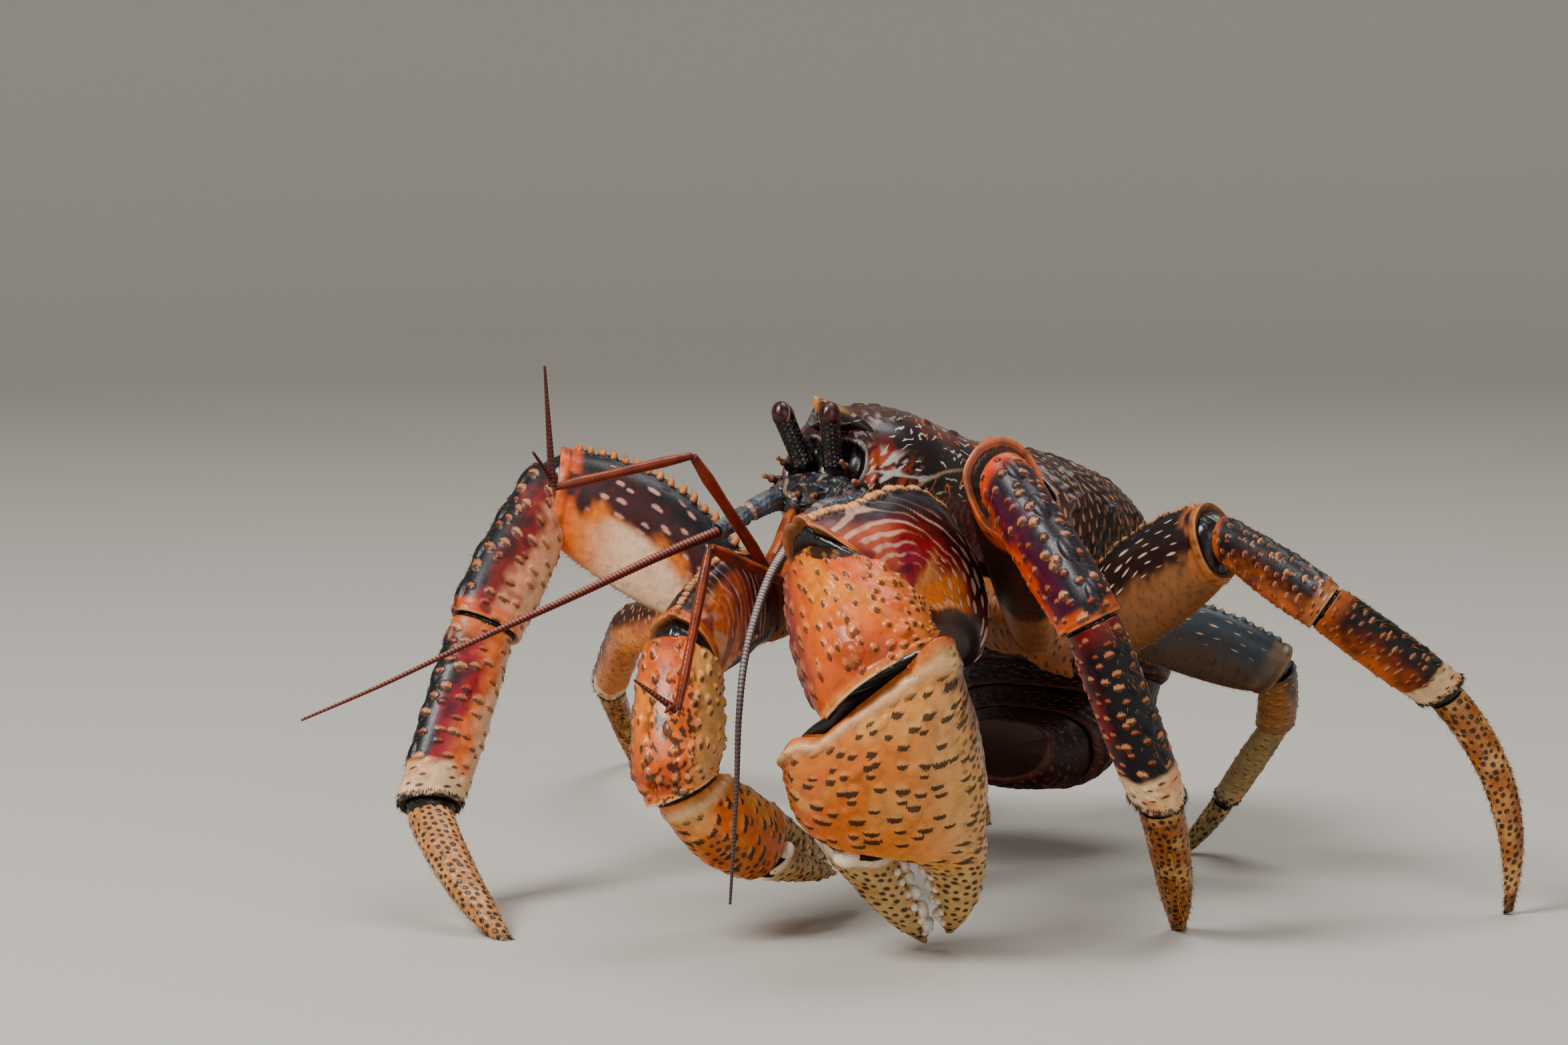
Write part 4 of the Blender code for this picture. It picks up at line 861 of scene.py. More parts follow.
# The chitin of the mouth legs is pale brown and satin, with dark dots 0.8 mm wide.
mouth_finish, tree, coat, marks, skin = new_finish("pale chitin of the mouth legs")
dots = dabs(tree, skin, (2.0, 2.0), (0.4, 0.4), 0.9, 0.4)[0]
colour = add(tree, "Mix", {0: add(tree, "Math MULTIPLY", dots, 0.7), 6: coat, 7: "#3A2018"}, out=2, **OVER)
close_up(tree, colour, dots, 0.3, (0.35, 0.55), 0.2)
for side, sign in (("left", 1), ("right", -1)):
    route = in_body([np.array(row) * (sign, 1, 1) for row in MAXILLIPED])
    leg = tube(route, (4.2, 3.9, 3.4, 2.9, 2.2), 0.6, 44)
    leg.lift = leg.lift - 0.5 * np.exp(-((np.sin(leg.place * 3 * math.pi) / 0.16) ** 2))
    leg.scales((2.4, 2.4), 0.3, 1.0)
    leg.paint("#7C4A32")
    leg.paint("#C98E5E", 0.7 * smooth(leg.place, 0.5, 1))
    leg.curl((1, 1), 0.8)
    piece(f"maxilliped_{side}", [leg], mouth_finish, "underside_shell", f"maxilliped_{side}")

# The eyes stand on movable stalks, black-brown and set with fine grains. Each cornea is a dark red
# glossy cap with a thin pink rim.
EYE_STALKS = {"left": ((5.5, -59, 1), (5.0, -66, 20)), "right": ((-5.5, -59, 1), (-12, -68.5, 19))}
# Share of the way from foot to tip, and radius.
STALK = ((0, 3.8), (0.2, 3.2), (0.7, 3.3), (0.82, 3.4))
STALK_FOOT, CORNEA, CORNEA_AT = 1.2, (3.5, 3.5, 4.2), 0.84  # start, half sizes and share of the way

# Grained chitin is nearly black and shiny, with grains 1 mm wide, a few of them paler.
stalk_finish, tree, coat, marks, skin = new_finish("grained chitin of the eyestalks")
grains, _, luck = dabs(tree, skin, (1.5, 1.3), (0.5, 0.42), 0.4, 0.5)
pale = add(tree, "Math GREATER_THAN", luck, 0.82)
pale = add(tree, "Math MULTIPLY", pale, grains)
colour = add(tree, "Mix", {0: pale, 6: coat, 7: "#6A4A3A"}, out=2, **OVER)
close_up(tree, colour, grains, 0.35, (0.25, 0.4), 0.4)

# A clear cornea over a dark eye gives a sharp highlight. Its real facets are too fine to show, so
# they are drawn 0.5 mm apart, as a slight unevenness.
cornea_finish, tree, coat, marks, skin = new_finish("clear cornea over dark red")
facets = dabs(tree, skin, (0.5, 0.5), (0.22, 0.22), 0.0, 0.5)[0]
close_up(tree, coat, facets, 0.03, (0.05, 0.12), 0.8)
for side, (foot, tip) in EYE_STALKS.items():
    foot, tip = in_body(foot), in_body(tip)
    length = np.linalg.norm(tip - foot)
    aim = (tip - foot) / length
    up = square_to(aim, -REARWARD)
    t = np.linspace(STALK_FOOT / length, STALK[-1][0], 44)
    radius, = profile(STALK, t)
    stalk = Surface(t, foot + aim * (t * length)[:, None], np.cross(aim, up), up, (radius,) * 3, (2, 2), 60)
    stalk.scales((1.5, 1.3), 0.22, 1.0)
    stalk.paint("#0E0808")
    stalk.paint("#3A140E", 0.5 * smooth(stalk.place, 0.6, 0.8) * stalk.patches(4, 0.4, 0.7))
    stalk.curl((1, 1), 0.4)
    piece(f"eyestalk_{side}", [stalk], stalk_finish, "face_shell", f"eyestalk_{side}")
    half = (CORNEA[0] * 1.04, CORNEA[2] * 1.15, CORNEA[1] * 1.04)
    eye = blob(foot + aim * length * CORNEA_AT, aim, half, 120)
    seen = eye.out @ unit((0.55 if side == "left" else -0.3, -0.8, 0.5))
    eye.paint("#120807")
    eye.paint("#200305", smooth(seen, 0.16, 0.2))
    eye.paint("#4A0A08", 0.7 * smooth(seen, 0.6, 0.9))
    eye.paint("#C87860", smooth(np.abs(seen - 0.15), 0.06, 0.03))
    piece(f"eye_{side}", [eye], cornea_finish, "cornea", f"eye_{side}")

# The feelers: two elbowed antennules in four articles, and two long antennae, each a jointed stem
# and a whip. They are thin chitin tubes in short rings, red-brown, with a painted highlight along their
# tops.
RING_PITCH = 1.3
ANTENNULE_RADII = (2.3, 1.9, 1.6, 1.3, 0.4)
ANTENNA_STEM_RADII = (3.6, 3.5, 3.3, 3.0, 2.6)
ANTENNA_WHIP_RADII = (1.7, *np.linspace(1.5, 0.45, 7))
ELBOW_GAP = 0.4
FLAGELLUM = (0.32, 9, 0.9)  # the short second branch: its place on the last article, lean and radius
# Thin ringed chitin is satin, with a darker groove between its rings.
feeler_finish, tree, coat, marks, skin = new_finish("ringed chitin of the feelers")
split = add(tree, "SeparateXYZ", skin).node
turns = add(tree, "Math MULTIPLY", split.outputs[0], 2 * math.pi / RING_PITCH)
rings = add(tree, "Math SINE", turns)
rings = add(tree, "MapRange", rings, 0.2, 1.0, 0.0, 1.0)
rings = add(tree, "Math MULTIPLY", rings, marks[0])
dark_rings = add(tree, "Math MULTIPLY", rings, 0.8)
colour = add(tree, "Mix", {0: dark_rings, 6: coat, 7: "#1E0A08"}, out=2, **OVER)
height = add(tree, "Math SUBTRACT", 1.0, rings)
close_up(tree, colour, height, 0.2, (0.25, 0.4), 0.3)


def whip(route, radii, dark, pale, count=16):
    """A feeler in short rings, with a painted highlight along its top."""
    form = tube(route, radii, 0.42, count)
    form.lift = form.lift + 0.09 * np.sin(form.s * 2 * math.pi / RING_PITCH) * smooth(form.place, 1, 0.5)
    form.paint(dark)
    # Painted highlight: the faces that look up are painted paler, as if lit from above.
    form.paint(pale, 0.75 * smooth(form.out[..., 2], 0.1, 0.9))
    form.mark(0, 1.0)
    return form


for side, route in ANTENNULES.items():
    places = np.array(route, float)
    aims = [unit(b - a) for a, b in zip(places, places[1:])]
    for k, part in enumerate(("base", "arm", "forearm", "whip")):
        start = places[k] + aims[k] * ELBOW_GAP
        end = places[k + 1] - aims[k] * (ELBOW_GAP if k < 3 else 0)
        first, last = ANTENNULE_RADII[k:k + 2]
        if k < 3:
            radii = (first * 0.7, first, first * 0.95, last * 1.05, last * 1.25, last * 0.8)
            form = tube((start, end), radii, 0.5, 28)
            form.scales((1.6, 1.6), 0.12)
            form.paint("#7A2206")
            # Painted highlight: the faces that look up are painted orange, as if lit from above.
            form.paint("#C4560E", 0.75 * smooth(form.out[..., 2], 0.0, 0.9))
            form.paint("#4A1208", 0.6 * form.patches(3, 0.5, 0.75, 2))
            form.paint("#3A1410", 0.7 * smooth(form.place, 0.93, 0.99))
            form.paint("#3A1410", 0.7 * smooth(form.place, 0.07, 0.01))
            if k == 2 and side == "right":
                form.paint("#6A2A1C", 0.5)
            forms = [form]
        else:
            tones = ("#5A140C", "#A84A24")
            share, off, radius = FLAGELLUM
            aside = square_to(aims[k], np.array((0, -1, 0.3))) * off
            branch = places[k] + (end - places[k]) * share + aside
            forms = [
                whip((start, end), (first, last), *tones),
                whip((start + aims[k] * 2, branch), (radius, radius * 0.4), *tones, 12),
            ]
        name = f"antennule_{side}_{part}"
        piece(name, forms, feeler_finish, "feeler_shell", name)
for side, route in ANTENNAE.items():
    places = np.array(route, float)
    stem = tube(places[:3], ANTENNA_STEM_RADII, 0.45, 44)
    waist, end = np.exp(-(((stem.place - 0.52) / 0.035) ** 2)), smooth(stem.place, 0.85, 0.97)
    stem.lift = stem.lift - 0.9 * waist + 0.3 * end
    stem.scales((1.8, 1.8), 0.35, 1.0)
    stem.paint("#3A444E")
    stem.paint("#6E7880", 0.7 * stem.patches(3, 0.45, 0.75, 1))
    stem.paint("#7A5240", 0.6 * stem.patches(3, 0.55, 0.75))
    stem.paint("#C8A080", 0.8 * np.exp(-(((stem.place - 0.49) / 0.02) ** 2)))
    stem.mark(0, 0.7)
    stem.curl((1, 1), 0.5)
    name = f"antenna_{side}_stem"
    piece(name, [stem], face_finish, "face_shell", name)
    name = f"antenna_{side}_whip"
    tones = ("#5A4644", "#CDBEBA") if side == "left" else ("#6A1C14", "#C88068")
    lash = whip(places[2:], ANTENNA_WHIP_RADII, *tones)
    piece(name, [lash], feeler_finish, "feeler_shell", name)

# The great claws, the left one far the larger. First the two arms: a short root and a merus, which
# on the left stands up as a striped dome with a scalloped crest. Glossy black soft skin joins each
# article to the next.
# Tables of articles: share of the way from joint to joint, half width, rise and drop.
CLAW_MERUS = (
    (-0.16, 8, 13, 12),
    (-0.05, 9.5, 17, 15),
    (0.12, 12, 27, 18.5),
    (0.4, 14, 34, 21),
    (0.7, 14.5, 32, 20),
    (1, 15.5, 23, 17),
    (1.25, 10, 11, 10),
)
# In front the great claw's merus reaches over the wrist as a hood, whose rows follow.
MERUS_HOOD = ((1.2, 14, 19, 15), (1.42, 10, 12, 11), (1.55, 5, 6, 6))
# The root's table is in shares of its size.
ISCHIUM = (
    (-0.3, 0.8, 0.8, 0.8),
    (0, 0.9, 0.95, 0.95),
    (0.6, 1, 1, 1),
    (1.0, 1, 1.05, 1),
    (1.3, 0.8, 0.8, 0.8),
)
CLAW_GIRTH = {"claw_left": 1.0, "claw_right": 0.66}
CLAW_SEAM = {"claw_left": 1.5, "claw_right": 1.4}
CLAW_COUNTS = {"claw_left": 360, "claw_right": 240}
# Directions that the great claw's two slanted seams face, towards the fingers, and how its wrist
# starts: more slanted, so that soft skin shows under the hood.
CLAW_SEAMS = {"claw_left": ((-0.065, -0.671, -0.738), (0.641, 0.029, -0.767)), "claw_right": (None, None)}
WRIST_START = {"claw_left": (-0.16, -0.73, -0.738), "claw_right": None}
PALE_STRIPE, CREST_BLACK, LIMB_RED, SLIT_BLACK = "#F2C9AC", "#14131C", "#A01608", "#0F0A09"

# The chitin of the limbs is dark and satin. Its marks are pale dashes 7 mm long, raised tan ovals
# with a dark slit, and short dark pits.
limb_finish, tree, coat, marks, skin = new_finish("banded chitin of the limbs")
far = dabs(tree, skin, (8.4, 3.1), (3.6, 0.85), 0.7, 0.45)[1]
stripes = add(tree, "MapRange", add(tree, "Math SUBTRACT", far, marks[0]), 0.0, -0.3, 0.0, 1.0)
pale = add(tree, "Math MULTIPLY", stripes, 0.85)
colour = add(tree, "Mix", {0: pale, 6: coat, 7: PALE_STRIPE}, out=2, **OVER)
ovals = add(tree, "SeparateXYZ", add(tree, "Attribute", out=1, attribute_name="ovals")).node.outputs
ragged = add(tree, "TexNoise", {"Vector": skin, "Scale": 1.4, "Detail": 3.0})
ragged = add(tree, "MapRange", ragged, 0.3, 0.7, -0.22, 0.22)
edge = add(tree, "Math ADD", ovals[0], ragged)
rims = add(tree, "MapRange", edge, 1.05, 0.7, 0.0, 0.85, interpolation_type="SMOOTHSTEP")
rims = add(tree, "Math MULTIPLY", rims, marks[1])
tan = add(tree, "Mix", {0: ovals[2], 6: "#A8380C", 7: "#E89A64"}, out=2, **OVER)
colour = add(tree, "Mix", {0: rims, 6: colour, 7: tan}, out=2, **OVER)
slits = add(tree, "Math SUBTRACT", add(tree, "Math ADD", ovals[1], ragged), 0.42)
slits = add(tree, "MapRange", add(tree, "Math ABSOLUTE", slits), 0.4, 0.26, 0.0, 1.0)
inside = add(tree, "MapRange", edge, 0.95, 0.8, 0.0, 1.0)
slits = add(tree, "Math MULTIPLY", slits, inside)
slits = add(tree, "Math MULTIPLY", slits, marks[1])
dark = add(tree, "Math MULTIPLY", slits, 0.85)
colour = add(tree, "Mix", {0: dark, 6: colour, 7: SLIT_BLACK}, out=2, **OVER)
pits = dabs(tree, skin, (3.9, 4.4), (0.4, 1.05), 0.9, 0.5)[0]
pits = add(tree, "Math MULTIPLY", pits, marks[2])
colour = add(tree, "Mix", {0: pits, 6: colour, 7: SLIT_BLACK}, out=2, **OVER)
height = add(tree, "Math SUBTRACT", stripes, slits)
height = add(tree, "Math SUBTRACT", height, pits)
close_up(tree, colour, height, 0.4, (0.32, 0.5), 0.2)

# Soft skin is black and looks wet, with shallow folds about 2 mm apart.
skin_finish, tree, coat, marks, skin = new_finish("glossy soft skin of the joints")
folds = add(tree, "TexNoise", {"Vector": skin, "Scale": 0.5, "Detail": 4.0})
close_up(tree, coat, folds, 0.3, (0.12, 0.3), 0.6, 0.9)


def soft_skin(first, last, bulge=0.6):
    """A band of soft skin from the end of one article to the start of the next, just inside both."""
    a, b = first.points[-1], last.points[0]
    count = min(len(a), len(b)) // 2
    a, b = (ring[np.arange(count) * len(ring) // count] for ring in (a, b))
    turned = [np.roll(ring, k, axis=0) for ring in (b, b[::-1]) for k in range(0, count, 4)]
    b = min(turned, key=lambda ring: np.linalg.norm(ring - a, axis=1).sum())
    t = np.linspace(-0.9, 1.9, 15)
    share = np.clip(t, 0, 1)[:, None, None]
    rings = a + (b - a) * share
    middle = rings.mean(axis=1, keepdims=True)
    axis = unit(b.mean(axis=0) - a.mean(axis=0))
    past = (t - share[:, 0, 0])[:, None, None]
    rings = middle + (rings - middle) * (0.94 - 0.1 * np.abs(past)) + axis * (past * 1.6)
    band = Surface(t, rings.mean(axis=1), ACROSS, ABOVE, (1, 1, 1), (2, 2), count)
    band.points = rings
    band.measure()
    band.lift = band.lift + bulge * np.sin(np.pi * share[..., 0]) - 0.25 * np.sin(band.r * 1.1) ** 2
    band.paint("#121315")
    band.paint("#2C1C18", 0.5 * band.patches(3, 0.5, 0.8))
    return band


def hip_skin(leg, size):
    """The soft skin that fills the seam between a leg's root and the underside."""
    plug = blob(leg["joints"][0], leg["aims"][0], (0.92 * size[0], 5, 0.92 * size[1]), 48)
    plug.paint("#2A1A14")
    return plug


def root_of(leg, size, seam, count):
    """The article between the underside and a merus, rounded off on the outer side of its bend."""
    width, height = size
    rows = [(t, w * width, r * height, d * height) for t, w, r, d in ISCHIUM]
    root = article(leg, 0, rows, (seam, 0.2), count=count)
    bend = square_to(leg["aims"][0], leg["aims"][1])
    out = np.maximum((root.centres - root.points) @ bend, 0) * smooth(root.place, 0.55, 1.0)
    root.points = root.points + bend * (0.4 * out)[..., None]
    root.measure()
    return root


CLAWS = {}
for name in CLAW_GIRTH:
    leg, girth, seam = LEGS[name], CLAW_GIRTH[name], CLAW_SEAM[name]
    left = name == "claw_left"
    root = root_of(leg, ISCHIUM_SIZE[name], SEAM, 120)
    root.stir(3, 12)
    root.scales((4.5, 5.0), 0.4)
    root.paint("#7A3C1C")
    # Painted shade: the faces that look down are painted dark.
    root.paint("#221310", 0.6 * root.facing(0, 0, -1))
    root.mark(2, 0.7)
    rows = (*CLAW_MERUS[:-1], *MERUS_HOOD) if left else CLAW_MERUS
    arm = article(
        leg, 1, rows, (0.2, seam), girth, (1.9, 2.6), count=CLAW_COUNTS[name], step=0.5,
        planes=(None, CLAW_SEAMS[name][0]),
    )
    rim = arm.mounds(((0.0, 1.4 if left else 0.97, 27, 90, 1.5, 2.6, 1.3),), girth)
    arm.mounds(((0.1, 0.94, 9, 92, 3.3, 3.0, 0.9),), girth, 1 if left else 0.5)
    away = np.abs(arm.r) / girth
    flank = smooth(away, 50, 42)
    if left:
        arm.encircle(leg["joints"][2] - leg["aims"][1] * 16, leg["aims"][1] * 0.62, leg["ups"][1])
        round_it, far = np.degrees(arm.s / arm.TURN_RADIUS), arm.r
    else:
        arm.encircle(leg["joints"][2] + leg["ups"][1] * 14, leg["aims"][1], leg["ups"][1])
        round_it, far = 60 * (arm.place - 0.7), arm.r * 0.7
    wild = wander(arm.s, arm.r, 7, 1) - 0.5
    round_it, far = round_it + 24 * wild, far + 5 * (wander(arm.s, arm.r, 6) - 0.5)
    arm.stir(2.0, 13, 2)
    arm.scales((7.0, 3.0), 0.3, flank, 0.5)
    arm.paint("#48140E")
    arm.paint(LIMB_RED, 0.95 * smooth(far, 25, 18))
    if left:
        arm.paint("#2C0A1C", 0.7 * smooth(far, 24, 33))
        arm.paint("#A82850", 0.6 * smooth(far, 19, 13) * smooth(round_it, -22, 5))
        arm.paint("#F49A50", 0.85 * smooth(far, 17, 12) * smooth(round_it, -8, -28))
        arm.paint("#E8704A", 0.6 * smooth(round_it, 12, 40) * smooth(far, 30, 24))
    else:
        arm.paint("#E87028", 0.9 * smooth(arm.place, 0.3, 0.6) * smooth(far, 26, 20))
        arm.paint("#F4B07C", 0.8 * smooth(arm.place, 0.5, 0.8) * arm.patches(8, 0.3, 0.6, 2))
    purple = smooth(wander(arm.s * 0.15, arm.r, 4, 2), 0.5, 0.7)
    arm.paint("#6A1638", 0.7 * purple * (smooth(round_it, -15, 10) if left else 1))
    arm.paint("#FF8408", 0.95 * smooth(round_it, -40, -62) * smooth(far, 23, 15))
    band = np.cos(2 * math.pi * arm.r / 3.0 + 9 * wander(arm.s, arm.r, 15, 1) + 3 * wander(arm.s, arm.r, 5))
    broken = smooth(wander(arm.s * 0.3, arm.r, 2.6, 2), 0.3, 0.5)
    thick = 0.5 - 0.5 * smooth(round_it, 0, 35) + 0.5 * wander(arm.s * 0.5, arm.r, 4)
    pale = smooth(band, thick - 0.2, thick + 0.35) * broken * flank * smooth(far, 7, 11)
    arm.paint("#F8C4A6", 0.85 * pale * smooth(round_it, -62, -25) * smooth(far, 33, 25))
    top = smooth(away, 13, 7) * smooth(round_it, 75, 30)
    arm.paint(CREST_BLACK, 0.95 * top * (1 - 0.6 * pale))
    arm.paint("#F2A05E", smooth(rim, 0.3, 0.75))
    lip = arm.rim(4.0)
    arm.lift = arm.lift + 1.2 * girth * lip
    arm.paint("#F06A06", 0.95 * lip)
    arm.paint("#7A3410", 0.6 * lip * arm.patches(3, 0.45, 0.7))
    # Painted highlight: a faint pale line along the edge of the lip.
    arm.paint("#F8C890", 0.3 * arm.rim(1.0))
    edge = away - 45 - 1.5 * (wander(arm.s, arm.place * 60, 9) - 0.5)
    beads = 0.6 + 0.4 * np.cos(arm.place * 105)
    keel = np.exp(-((edge / 1.4) ** 2)) * beads * smooth(arm.place, 0.25, 0.45)
    arm.lift = arm.lift + 1.5 * girth * keel - 2.0 * girth * smooth(edge, 1, 9)
    # Past the keel the underside is dark brown, painted near black: partly its own colour, partly painted
    # shade against the light from the floor.
    arm.paint("#1C0F09", 0.93 * smooth(edge, 0.5, 2))
    arm.paint("#F2B48C", 0.95 * smooth(keel, 0.3, 0.6))
    dashed = flank * (1 - top * 0.6) * smooth(arm.place, 0.95, 0.85)
    arm.mark(0, dashed * smooth(round_it, -25, -50) * smooth(far, 9, 14))
    arm.curl((0, 1), 1.4)
    piece(f"{name}_merus", [root, arm], limb_finish, "claw_shell", f"{name}_merus")
    CLAWS[name] = {"arm": arm}

# The wrists of the claws are short thick articles, orange, paved with low scales that lean
# forwards and end in dark tips.
CLAW_CARPUS = (
    (-0.35, 9, 10, 9),
    (-0.1, 16, 18, 15),
    (0.2, 19.5, 23, 20),
    (0.6, 21, 25, 22),
    (0.9, 20, 23, 21),
    (1.05, 17, 19, 17),
    (1.2, 11, 12, 11),
)
CARPUS_SCALES = (
    (0.1, 0.8, 4, 70, 3.0, 3.6, 1.3),
    (0.0, 0.75, 4, 115, 3.0, 3.6, 1.3),
    (0.1, 0.7, 2, 160, 3.0, 3.6, 1.3),
)
# The thick limy chitin of the claws is smooth and glazed like old china. Black hairs set in its pits
# look like dashes, and its scales have dark tips.
claw_finish, tree, coat, marks, skin = new_finish("glazed chitin of the claws")
ovals = add(tree, "SeparateXYZ", add(tree, "Attribute", out=1, attribute_name="ovals")).node.outputs
ragged = add(tree, "TexNoise", {"Vector": skin, "Scale": 1.6, "Detail": 3.0})
ragged = add(tree, "MapRange", ragged, 0.3, 0.7, -0.2, 0.2)
dashes = add(tree, "Math ABSOLUTE", add(tree, "Math SUBTRACT", ovals[1], 0.35))
dashes = add(tree, "Math ADD", dashes, ragged)
dashes = add(tree, "MapRange", dashes, 0.5, 0.32, 0.0, 1.0)
inside = add(tree, "MapRange", add(tree, "Math ADD", ovals[0], ragged), 0.98, 0.85, 0.0, 1.0)
dashes = add(tree, "Math MULTIPLY", dashes, inside)
dashes = add(tree, "Math MULTIPLY", dashes, marks[0])
tips = add(tree, "Math MULTIPLY", ovals[0], ovals[0])
tips = add(tree, "Math MULTIPLY_ADD", ovals[1], -1.1, tips)
tips = add(tree, "Math ADD", tips, ragged)
tips = add(tree, "MapRange", tips, -0.02, -0.14, 0.0, 1.0)
tips = add(tree, "Math MULTIPLY", tips, marks[1])
swell = add(tree, "MapRange", ovals[0], 1.3, 0.5, 0.0, 0.16, interpolation_type="SMOOTHSTEP")
colour = add(tree, "Mix", {0: swell, 6: coat, 7: "#FFC070"}, out=2, **OVER)
dots = dabs(tree, skin, (3.3, 3.1), (0.72, 0.95), 1.0, 0.4)[0]
dots = add(tree, "Math MULTIPLY", dots, marks[2])
black = add(tree, "Math MAXIMUM", dashes, dots)
black = add(tree, "Math MAXIMUM", black, tips)
dark = add(tree, "Math MULTIPLY", black, 0.9)
colour = add(tree, "Mix", {0: dark, 6: colour, 7: SLIT_BLACK}, out=2, **OVER)
height = add(tree, "Math SUBTRACT", 0.6, black)
close_up(tree, colour, height, 0.45, (0.28, 0.45), 0.3)

for name in CLAW_GIRTH:
    leg, girth, seam = LEGS[name], CLAW_GIRTH[name], CLAW_SEAM[name]
    left = name == "claw_left"
    wrist = article(
        leg, 2, CLAW_CARPUS, (seam, seam), girth, (2.2, 2.4), count=CLAW_COUNTS[name], step=0.45,
        planes=(WRIST_START[name], CLAW_SEAMS[name][1]),
    )
    wrist.stir(3, 12, 4)
    if not left:
        shrunk = 1 - 0.2 * smooth(wrist.place, 0.7, 1.0)[..., None]
        wrist.points = wrist.centres + (wrist.points - wrist.centres) * shrunk
        wrist.measure()
        wrist.stir(3, 12, 4)
    wrist.mounds(CARPUS_SCALES, girth, 1 if left else 0.5, 1.1)
    wrist.spots((5.4, 5.0), (1.7, 1.5), 0.75, 1.0, 0.9, 5)
    wrist.paint("#E25C00")
    wrist.paint("#A83600", 0.7 * wrist.patches(9, 0.45, 0.8))
    wrist.paint("#F48A10", 0.8 * wrist.patches(12, 0.45, 0.75, 1) * smooth(wrist.place, 0.8, 0.3))
    wrist.paint("#54163C", 0.85 * wrist.facing(-0.9, -0.4, -0.15, 0.72, 0.98))
    wrist.paint("#F0B060", (0.25 if left else 0.9) * wrist.facing(0.84, 0.54, 0, 0.2, 0.8))
    wrist.lift = wrist.lift + 0.8 * girth * wrist.rim(3.5)
    wrist.paint("#FF9430", 0.6 * wrist.rim(3.0))
    wrist.paint("#F6D4A4", 0.8 * wrist.rim(1.0))
    if not left:
        scab = wrist.facing(0.5, -0.8, 0.2, 0.62, 0.9) * smooth(wrist.place, 0.12, 0.3)
        crust = smooth(wander(wrist.s * 0.8 + wrist.r * 0.5, wrist.r - wrist.s * 0.7, 1.1, 2), 0.55, 0.63)
        wrist.paint("#1A0D0D", 0.9 * scab * crust)
    edge = CLAWS[name]["arm"].points[-2, ::6]
    near = np.min([np.linalg.norm(wrist.points - point, axis=2) for point in edge], axis=0)
    bare = smooth(near, 8.0 * girth, 7.2 * girth) * (1 - wrist.facing(0.84, 0.54, -0.2, 0.5, 0.75))
    wrist.lift = wrist.lift * (1 - bare) - 0.5 * girth * bare
    wrist.paint("#101215", 0.95 * bare)
    wrist.mark(1, 0.85 * (1 - bare))
    wrist.mark(0, 0.6 * smooth(wrist.place, 0.75, 0.9))
    wrist.curl((1, 1), 1.0)
    piece(f"{name}_carpus", [wrist], claw_finish, "claw_shell", f"{name}_carpus")
    CLAWS[name]["wrist"] = wrist

# The pincers. Palm and fixed finger are one thick limy piece, and the other finger hinges on a
# slanted seam. They are cream and orange with short black pits in staggered rows, and white teeth.
# Place along the claw, offset of the middle, half height and half thickness.
PALM = (
    (-10, -14, 9, 8),
    (0, -8, 18, 14),
    (10, -3, 25, 18),
    (22, 0, 29.5, 20.5),
    (34, 0, 30.5, 20.5),
    (46, -2, 28, 18.5),
    (53, -5, 24, 16),
)
FIXED_FINGER = (
    (40, -16, 14, 14),
    (54, -19, 11.5, 11.5),
    (66, -20.5, 9, 9),
    (78, -20.5, 6.2, 6.5),
    (86, -19, 3.6, 4.0),
    (91, -17.5, 1.2, 1.4),
)
MOVING_FINGER = (
    (48, 10, 10.5, 12),
    (56, 9.5, 10.5, 11.5),
    (66, 5, 9, 9.5),
    (77, 0, 7.2, 7.2),
    (86, -5, 5.0, 5.0),
    (94, -9.5, 1.3, 1.5),
)
# Between palm and fixed finger the piece narrows along the seam of the moving finger.
SEAM_SLOPE = ((50, -8.6, 21.2, 17.4), (53, -12.4, 17.2, 15.2), (56, -15.8, 14, 13.2), (60, -19, 11, 11.2))
PALM_END, HINGE_OFFSET, HINGE_SLANT = 52, 10, (0.94, 0.34)
PALM_BASE, FINGER_BASE = 56, 68  # where the slant of each base has faded out
CLAW_SCALE = {"claw_left": (1, 1, 1), "claw_right": (0.83, 0.52, 0.55)}
PINCER_COUNTS = {"claw_left": (300, 220), "claw_right": (210, 150)}
CLAW_FACING = {"claw_left": (-0.84, -0.54, 0.0), "claw_right": (0.6, 0.0, -0.8)}
# The teeth are limy, off-white and smooth, with a faint tan veil.
tooth_finish, tree, coat, marks, skin = new_finish("limy ivory of the teeth")
veil = add(tree, "TexNoise", {"Vector": skin, "Scale": 0.8, "Detail": 3.0})
colour = add(tree, "Mix", {0: add(tree, "Math MULTIPLY", veil, 0.6), 6: coat, 7: "#D9B692"}, out=2, **OVER)
close_up(tree, colour, veil, 0.1, (0.2, 0.35), 0.4, mottle=0.0)


